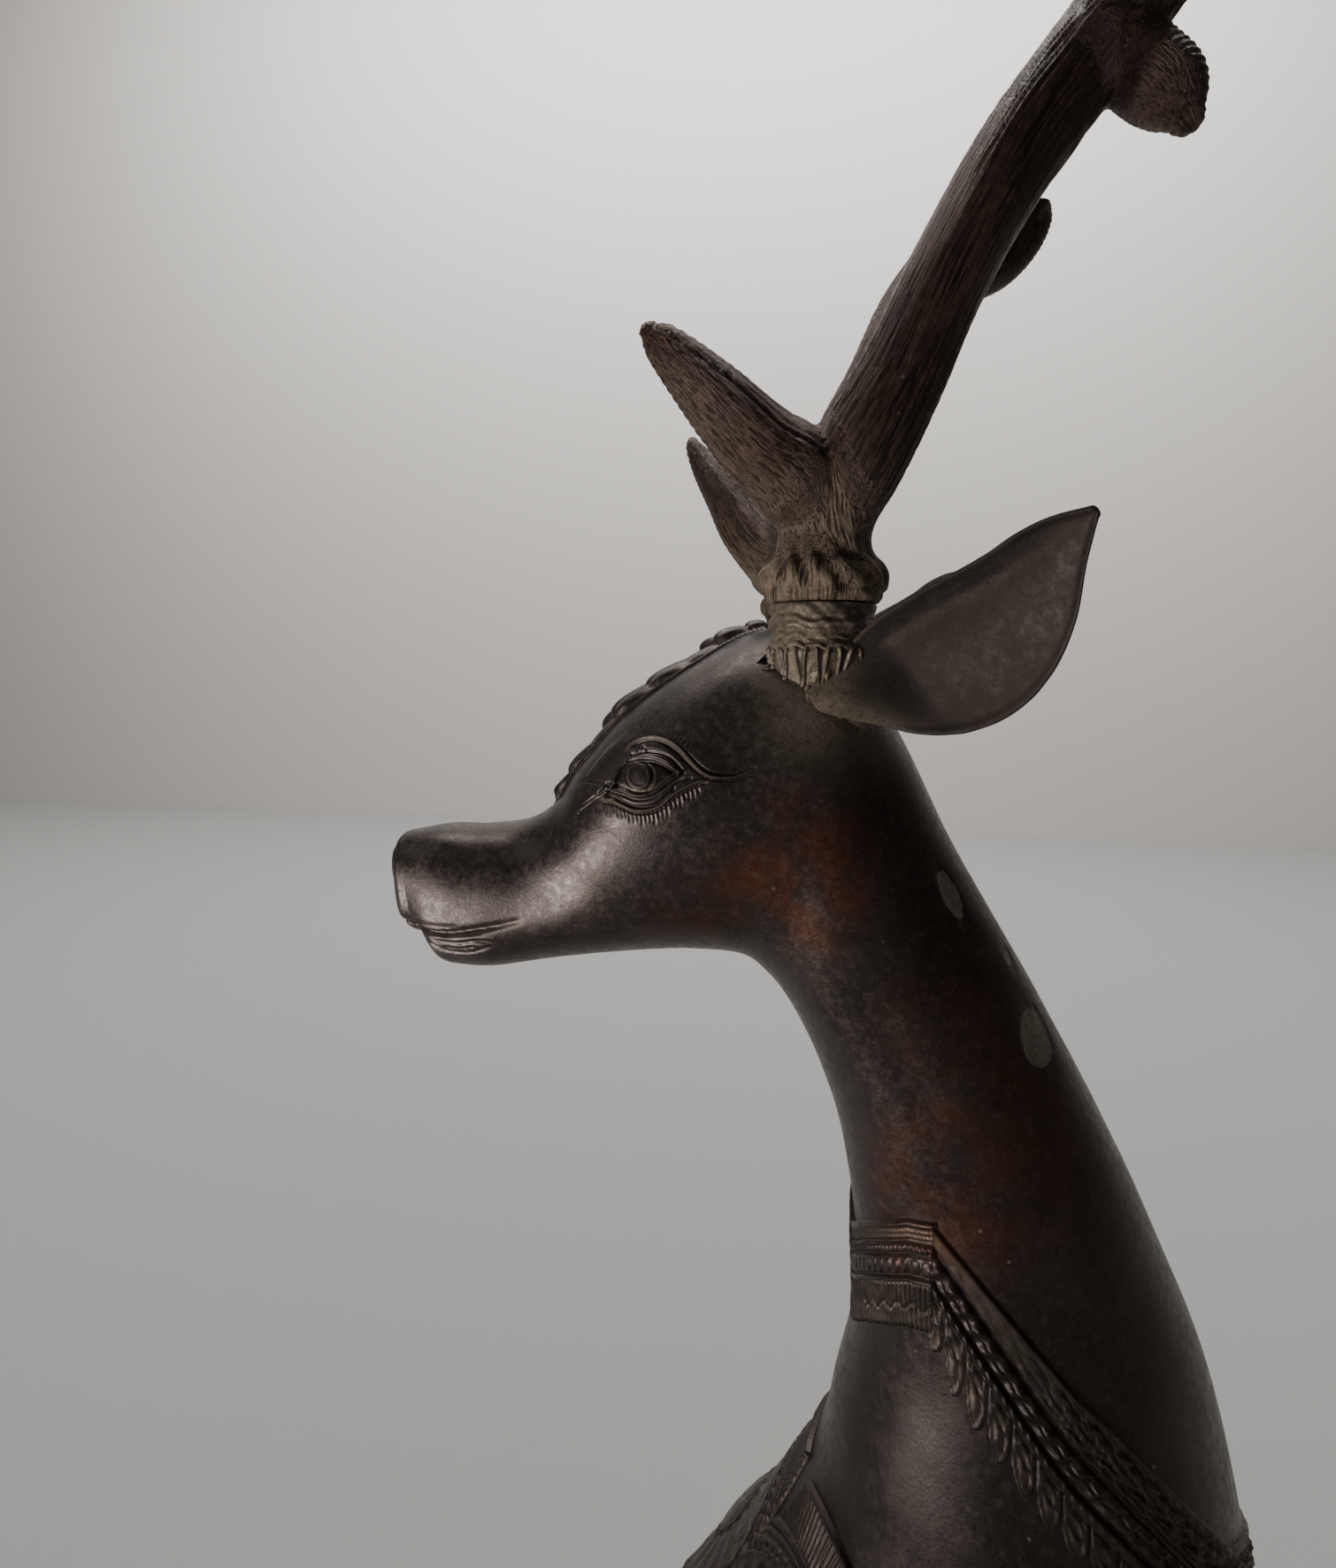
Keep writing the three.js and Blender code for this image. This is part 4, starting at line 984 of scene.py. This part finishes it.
def antler(side, name):
    """Beam, two tines and burr knitted into one closed piece."""
    far = side > 0
    foot = seat_top(side) + SEAM
    beam = BEAM.copy()
    if far:
        beam[:, 0] -= FAR_BEAM_FORWARD
    brow = FAR_BROW_TINE if far else BROW_TINE
    rear = FAR_REAR_TINE if far else REAR_TINE
    parts = []
    lines = []
    for label, stops in (("beam", beam), ("brow_tine", brow), ("rear_tine", rear)):
        rings, middle, way = limb_rows(stops, side, foot, LIMB_ROWS, LIMB_AROUND)
        tip = rings[-1:].mean(1, keepdims=True)
        cap = [tip + (rings[-1:] - tip) * s + way[-1] * stops[-1, 3] * MM * 0.9 * math.sqrt(1 - s * s)
               for s in (0.92, 0.75, 0.5, 0.2)]
        parts.append(sheet_of_metal(f"{name}_{label}", np.concatenate([rings] + cap)))
        lines.append((middle, way, stops))
    turn = np.linspace(0, 2 * np.pi, 97)[None, :]
    rise = np.linspace(0, BURR_TALL, 22)[:, None]
    stops = np.interp(rise[:, 0], BURR[:, 0], np.arange(float(len(BURR))))
    radius = spline(BURR[:, 1:], stops) * (1 + 0.035 * np.cos(8 * turn) * np.sin(np.pi * rise / BURR_TALL))
    burr = at(SEAT_X, side * SEAT_OUT, foot + rise + 0 * turn)
    burr = burr + np.stack([np.cos(turn) * radius, np.sin(turn) * radius, 0 * radius], -1) * MM
    burr[:, -1] = burr[:, 0]
    parts.append(sheet_of_metal(f"{name}_burr", burr))
    whole = join_up(parts, name)
    knit = whole.modifiers.new("knit", "REMESH")
    knit.mode = "VOXEL"
    knit.voxel_size = KNIT
    bpy.ops.object.modifier_apply(modifier=knit.name)
    ease = whole.modifiers.new("ease", "SMOOTH")
    ease.iterations = EASE
    bpy.ops.object.modifier_apply(modifier=ease.name)
    grain_antler(whole, lines, side, foot)
    bpy.ops.object.shade_smooth()
    return whole


def grain_antler(obj, lines, side, foot):
    """Long wavering furrows that follow each limb, pebbling low down and folds over the burr."""
    count = len(obj.data.vertices)
    co, no = np.zeros(count * 3, np.float32), np.zeros(count * 3, np.float32)
    obj.data.vertices.foreach_get("co", co)
    obj.data.vertices.foreach_get("normal", no)
    co, no = co.reshape(-1, 3).astype(float), no.reshape(-1, 3)
    weight = np.zeros(count)
    furrow = np.zeros(count)
    grain = np.zeros((count, 3))
    for k, (middle, way, stops) in enumerate(lines):
        mids, ways = middle[::2], way[::2]
        near = ((co[:, None, :] - mids[None]) ** 2).sum(-1).argmin(1)
        here = ways[near]
        off = co - mids[near]
        along = np.einsum("ij,ij->i", off, here)
        off = off - along[:, None] * here
        runs = np.cumsum(np.r_[0, np.linalg.norm(np.diff(mids, axis=0), axis=1)])
        run = runs[near] + along
        radii = spline(stops, np.linspace(0, len(stops) - 1, LIMB_ROWS)[::2])[:, 3]
        radius = np.interp(run, runs, radii) * MM
        across = unit(np.array([0, 1.0, 0]) - here * here[:, 1:2])
        turn = np.arctan2((off * np.cross(here, across)).sum(1), (off * across).sum(1))
        run_mm = run / MM
        if k == REAR:
            cut = 0.8 * np.sin(run_mm * 2.2 + 2.2 * np.sin(turn * 2) + 0.8 * np.sin(turn * 5))
        else:
            sway = 0.5 * np.sin(run_mm * 0.045 + k) + 0.25 * np.sin(run_mm * 0.13 + 2 * turn)
            wander = 0.9 * np.sin(run_mm * 0.05 + turn * 2) + 0.5 * np.sin(run_mm * 0.16 + turn * 5)
            cut = 0.8 * np.sin(FURROWS[k] * (turn + 0.06 * sway) + wander)
            cut += 0.5 * np.sin(25 * turn + 1.2 * np.sin(run_mm * 0.07) + 2.0)
            cut += 0.35 * np.sin(11 * turn + run_mm * 0.03)
        w = np.exp(-((np.linalg.norm(off, axis=1) - radius) / LIMB_BLEND) ** 2) + 1e-6
        round_limb = [np.cos(turn) * radius / MM, np.sin(turn) * radius / MM, run_mm * 0.03 + 40 * k]
        furrow += w * cut
        grain += w[:, None] * np.stack(round_limb, 1)
        weight += w
    furrow /= weight
    grain /= weight[:, None]
    x, y = co[:, 0] / MM - PLUMB, co[:, 1] / MM
    rise = co[:, 2] / MM - foot
    smooth = bump(np.hypot((x - FORK[0]) * 0.8, rise - FORK[1]), FORK[2]) * (0.9 if side < 0 else 0.7)
    low = step(46, 22, rise)
    swell = 0.36 * furrow * (1 - smooth) * (1 - 0.7 * low) + 0.30 * low * rough(co, 3.4, 51)
    swell += 0.35 * rough(co, 22, 52)
    turn = np.arctan2(y - side * SEAT_OUT, x - SEAT_X)
    on_burr = step(30, 20, rise) * step(-1, 1, rise)
    folds = np.sin(13 * turn + 0.35 * rise + 0.9 * np.sin(3 * turn)) + 0.5 * np.sin(7 * turn - 0.2 * rise)
    groove = bump(rise - 5 - 1.2 * np.sin(4 * turn), 1.2)
    swell += on_burr * (0.9 * folds * step(0, 6, rise) - groove)
    swell *= step(0.0, 1.0, rise)
    co = co + no * (swell * MM)[:, None]
    co[:, 2] = np.maximum(co[:, 2], foot * MM)
    obj.data.vertices.foreach_set("co", co.astype(np.float32).ravel())
    obj.data.update()
    dust = np.clip(0.85 * step(60, 6, rise) + 0.16 * step(110, 50, rise), 0, 1) * np.clip(0.75 - 0.35 * furrow, 0, 1)
    layer = obj.data.attributes.new("dust", "FLOAT", "POINT")
    layer.data.foreach_set("value", dust.astype(np.float32))
    layer = obj.data.attributes.new("grain", "FLOAT_VECTOR", "POINT")
    layer.data.foreach_set("vector", grain.astype(np.float32).ravel())


antlers = [antler(-1, "left_antler"), antler(1, "right_antler")]


# ---------------------------------------------------------------- finishes
def noise(tree, vector, scale, detail=4, roughness=0.55):
    made = tree.nodes.new("ShaderNodeTexNoise")
    made.inputs["Scale"].default_value = scale
    made.inputs["Detail"].default_value = detail
    made.inputs["Roughness"].default_value = roughness
    tree.links.new(vector, made.inputs["Vector"])
    return made.outputs["Fac"]


def ramp(tree, value, low, high, start=0.0, end=1.0):
    """start where the value is at low, running to end where it is at high."""
    made = tree.nodes.new("ShaderNodeMapRange")
    for label, amount in (("From Min", low), ("From Max", high), ("To Min", start), ("To Max", end)):
        made.inputs[label].default_value = amount
    tree.links.new(value, made.inputs["Value"])
    return made.outputs["Result"]


def sums(tree, operation, *values):
    """A sum of sockets and plain numbers."""
    made = tree.nodes.new("ShaderNodeMath")
    made.operation = operation
    for socket, value in zip(made.inputs, values):
        if isinstance(value, (int, float)):
            socket.default_value = value
        else:
            tree.links.new(value, socket)
    return made.outputs[0]


def times(tree, a, b):
    return sums(tree, "MULTIPLY", a, b)


def blend_in(tree, base, colour, share):
    made = tree.nodes.new("ShaderNodeMix")
    made.data_type = "RGBA"
    tree.links.new(share, made.inputs["Factor"])
    if isinstance(base, tuple):
        made.inputs["A"].default_value = base
    else:
        tree.links.new(base, made.inputs["A"])
    made.inputs["B"].default_value = colour
    return made.outputs["Result"]


def tinted(tree, colour, tint, value, low, high, strength):
    """The colour with a tint let in where the value runs from low to high."""
    return blend_in(tree, colour, tint, times(tree, ramp(tree, value, low, high), strength))


def attribute(tree, name):
    made = tree.nodes.new("ShaderNodeAttribute")
    made.attribute_name = name
    return made.outputs


def shade(colour, share):
    """The colour made darker or lighter."""
    return tuple(c * share for c in colour[:3]) + (1,)


def near_place(tree, vector, place, size):
    """1 near a place on both sides of the deer, falling to 0 at the size away, in millimetres."""
    flat = tree.nodes.new("ShaderNodeVectorMath")
    flat.operation = "MULTIPLY"
    tree.links.new(vector, flat.inputs[0])
    flat.inputs[1].default_value = (1, 0, 1)
    apart = tree.nodes.new("ShaderNodeVectorMath")
    apart.operation = "DISTANCE"
    tree.links.new(flat.outputs[0], apart.inputs[0])
    apart.inputs[1].default_value = tuple(at(place[0], 0, place[1]))
    return ramp(tree, apart.outputs["Value"], size * MM, size * MM * 0.2)


# Red-brown patches on the head and neck: place in the side view, size and strength.
RED_PATCHES = [((66, 402), 46, 0.9), ((30, 372), 40, 0.5), ((150, 300), 60, 0.45), ((120, 262), 46, 0.5),
               ((130, 340), 40, 0.3)]
CLEANED = (0.20, 0.185, 0.14, 1)
SPECK = (0.24, 0.19, 0.13, 1)
# How much rougher dust and the matt ears make the bronze.
DUST_MATT = 0.4
EAR_MATT = 0.28


def bronze(name, base, red, dust_colour, roughness, grain=False):
    """Dark bronze with mottles, dust, cleaned spots and specks; with grain, the furrowed antlers', with painted shade
    in their furrows.
    """
    mat = bpy.data.materials.new(name)
    mat.use_nodes = True
    tree = mat.node_tree
    shader = tree.nodes["Principled BSDF"]
    place = tree.nodes.new("ShaderNodeTexCoord").outputs["Object"]
    fine = noise(tree, place, 900, 3, 0.6)
    mottle = noise(tree, place, 260, 6, 0.72)
    colour = blend_in(tree, base, shade(base, 1.7), ramp(tree, noise(tree, place, 18, 5, 0.6), 0.40, 0.72))
    colour = tinted(tree, colour, shade(base, 0.7), noise(tree, place, 90, 5, 0.62), 0.5, 0.8, 0.7)
    if grain:
        colour = tinted(tree, colour, red, noise(tree, place, 30, 4), 0.52, 0.72, 0.6)
    else:
        for spot, size, strength in RED_PATCHES:
            share = times(tree, near_place(tree, place, spot, size), ramp(tree, noise(tree, place, 34, 4), 0.40, 0.66))
            colour = blend_in(tree, colour, red, times(tree, share, strength))
    dust = attribute(tree, "dust")["Fac"]
    dusted = times(tree, ramp(tree, dust, 0.0, 1.0), ramp(tree, fine, 0.25, 0.7))
    colour = blend_in(tree, colour, dust_colour, dusted)
    ragged = sums(tree, "MULTIPLY_ADD", mottle, 0.35, attribute(tree, "bare")["Fac"])
    worn = times(tree, ramp(tree, ragged, 0.66, 0.72), ramp(tree, fine, 0.25, 0.55))
    colour = blend_in(tree, colour, CLEANED, worn)
    colour = tinted(tree, colour, shade(base, 2.6), mottle, 0.52, 0.68, 0.5)
    colour = tinted(tree, colour, shade(base, 0.35), fine, 0.55, 0.68, 0.6)
    speck = tree.nodes.new("ShaderNodeTexVoronoi")
    speck.inputs["Scale"].default_value = 48
    tree.links.new(place, speck.inputs["Vector"])
    colour = tinted(tree, colour, SPECK, speck.outputs["Distance"], 0.045, 0.03, 0.6)
    shine = ramp(tree, mottle, 0.38, 0.64, roughness - 0.05, roughness + 0.16)
    matt = sums(tree, "MULTIPLY_ADD", dust, DUST_MATT, shine)
    matt = sums(tree, "MULTIPLY_ADD", attribute(tree, "dull")["Fac"], EAR_MATT, matt)
    tree.links.new(matt, shader.inputs["Roughness"])
    shader.inputs["Metallic"].default_value = 0.72
    shader.inputs["Specular IOR Level"].default_value = 0.45
    if grain:
        height = noise(tree, attribute(tree, "grain")["Vector"], 0.95, 4, 0.62)
        # painted shade: the antlers' colour darkens where the grain's bump height runs low, in the furrows
        colour = tinted(tree, colour, shade(base, 0.3), height, 0.50, 0.42, 0.85)
    else:
        height = noise(tree, place, 620, 4, 0.7)
    tree.links.new(colour, shader.inputs["Base Color"])
    texture = tree.nodes.new("ShaderNodeBump")
    texture.inputs["Strength"].default_value = 1.0 if grain else 0.35
    texture.inputs["Distance"].default_value = 0.0016 if grain else 0.0004
    tree.links.new(height, texture.inputs["Height"])
    tree.links.new(texture.outputs["Normal"], shader.inputs["Normal"])
    return mat


dark = bronze("dark_bronze", (0.030, 0.022, 0.018, 1), (0.12, 0.030, 0.013, 1), (0.33, 0.26, 0.18, 1), 0.34)
warm = bronze("antler_bronze", (0.060, 0.038, 0.028, 1), (0.090, 0.038, 0.024, 1), (0.38, 0.29, 0.20, 1), 0.40, True)

for obj in list(bpy.data.objects):
    if obj.type == "MESH" and obj.name not in frame["nodes"]:
        is_antler = obj in antlers
        obj.data.materials.clear()
        obj.data.materials.append(warm if is_antler else dark)
        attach(obj, "root")
        if not is_antler:
            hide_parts("bust")
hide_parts("antler_left")
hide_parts("antler_right")


# ---------------------------------------------------------------- room, light and camera
def plain_finish(name, colour):
    mat = bpy.data.materials.new(name)
    mat.use_nodes = True
    shader = mat.node_tree.nodes["Principled BSDF"]
    shader.inputs["Base Color"].default_value = colour
    shader.inputs["Roughness"].default_value = 0.9
    return mat


# the floor lies a little lower than the underside, so that the two faces don't fight
FLOOR_DROP = 0.0012
bpy.ops.object.select_all(action="DESELECT")
bpy.ops.mesh.primitive_plane_add(size=9, location=(0, 0, -FLOOR_DROP))
floor = bpy.context.object
floor.name = "floor"
floor.data.materials.append(plain_finish("pale_floor", (0.33, 0.325, 0.315, 1)))
bpy.ops.mesh.primitive_plane_add(size=9, location=(0, 2.2, 3.0), rotation=(math.radians(90), 0, 0))
wall = bpy.context.object
wall.name = "wall"
wall.data.materials.append(plain_finish("pale_wall", (0.62, 0.585, 0.55, 1)))


def soft_light(name, place, target, size, power, spread=180):
    """A rectangular light that looks from its place to its target, in metres, watts and degrees."""
    light = bpy.data.lights.new(name, "AREA")
    light.shape = "RECTANGLE"
    light.size, light.size_y = size
    light.energy = power
    light.spread = math.radians(spread)
    obj = bpy.data.objects.new(name, light)
    bpy.context.scene.collection.objects.link(obj)
    obj.location = place
    obj.rotation_euler = (Vector(target) - Vector(place)).to_track_quat("-Z", "Y").to_euler()


soft_light("low_left_light", (-0.72, -0.56, 0.06), (0.08, -0.04, 0.46), (0.40, 0.30), 1.9, 62)
soft_light("left_window", (-1.7, -0.5, 1.4), (0, 0, 0.7), (0.7, 0.9), 3)
soft_light("wall_light", (-0.1, 0.7, 3.1), (-0.1, 2.2, 1.4), (3.4, 0.5), 165)
world = bpy.data.worlds.new("room")
world.use_nodes = True
background = world.node_tree.nodes["Background"]
background.inputs["Color"].default_value = (1.0, 0.98, 0.95, 1)
background.inputs["Strength"].default_value = 0.085
bpy.context.scene.world = world

# The camera as worked out from the picture: focal length, long side and row of the horizon in its
# pixels, turn and roll, and its place in millimetres from the middle plane and over the underside.
FOCAL_PIXELS = 931
LONG_SIDE_PIXELS = 1772
HORIZON_ROW = 757
TURN = math.radians(7)
ROLL = math.radians(0.85)
CAMERA_AWAY = 415
CAMERA_HIGH = 490
SENSOR = 36
camera_data = bpy.data.cameras.new("camera")
camera = bpy.data.objects.new("camera", camera_data)
bpy.context.scene.collection.objects.link(camera)
bpy.context.scene.camera = camera
camera_data.sensor_width = SENSOR
camera_data.sensor_fit = "AUTO"
camera_data.lens = SENSOR * FOCAL_PIXELS / LONG_SIDE_PIXELS
camera_data.shift_y = -(LONG_SIDE_PIXELS / 2 - HORIZON_ROW) / LONG_SIDE_PIXELS
camera_data.clip_start = 0.02
camera.location = tuple(at(CAMERA_AWAY * math.sin(TURN), -CAMERA_AWAY * math.cos(TURN), CAMERA_HIGH))
camera.rotation_mode = "XYZ"
look = Vector((-math.sin(TURN), math.cos(TURN), 0))
level = look.to_track_quat("-Z", "Y").to_matrix()
camera.rotation_euler = (level @ Matrix.Rotation(ROLL, 3, "Z")).to_euler()
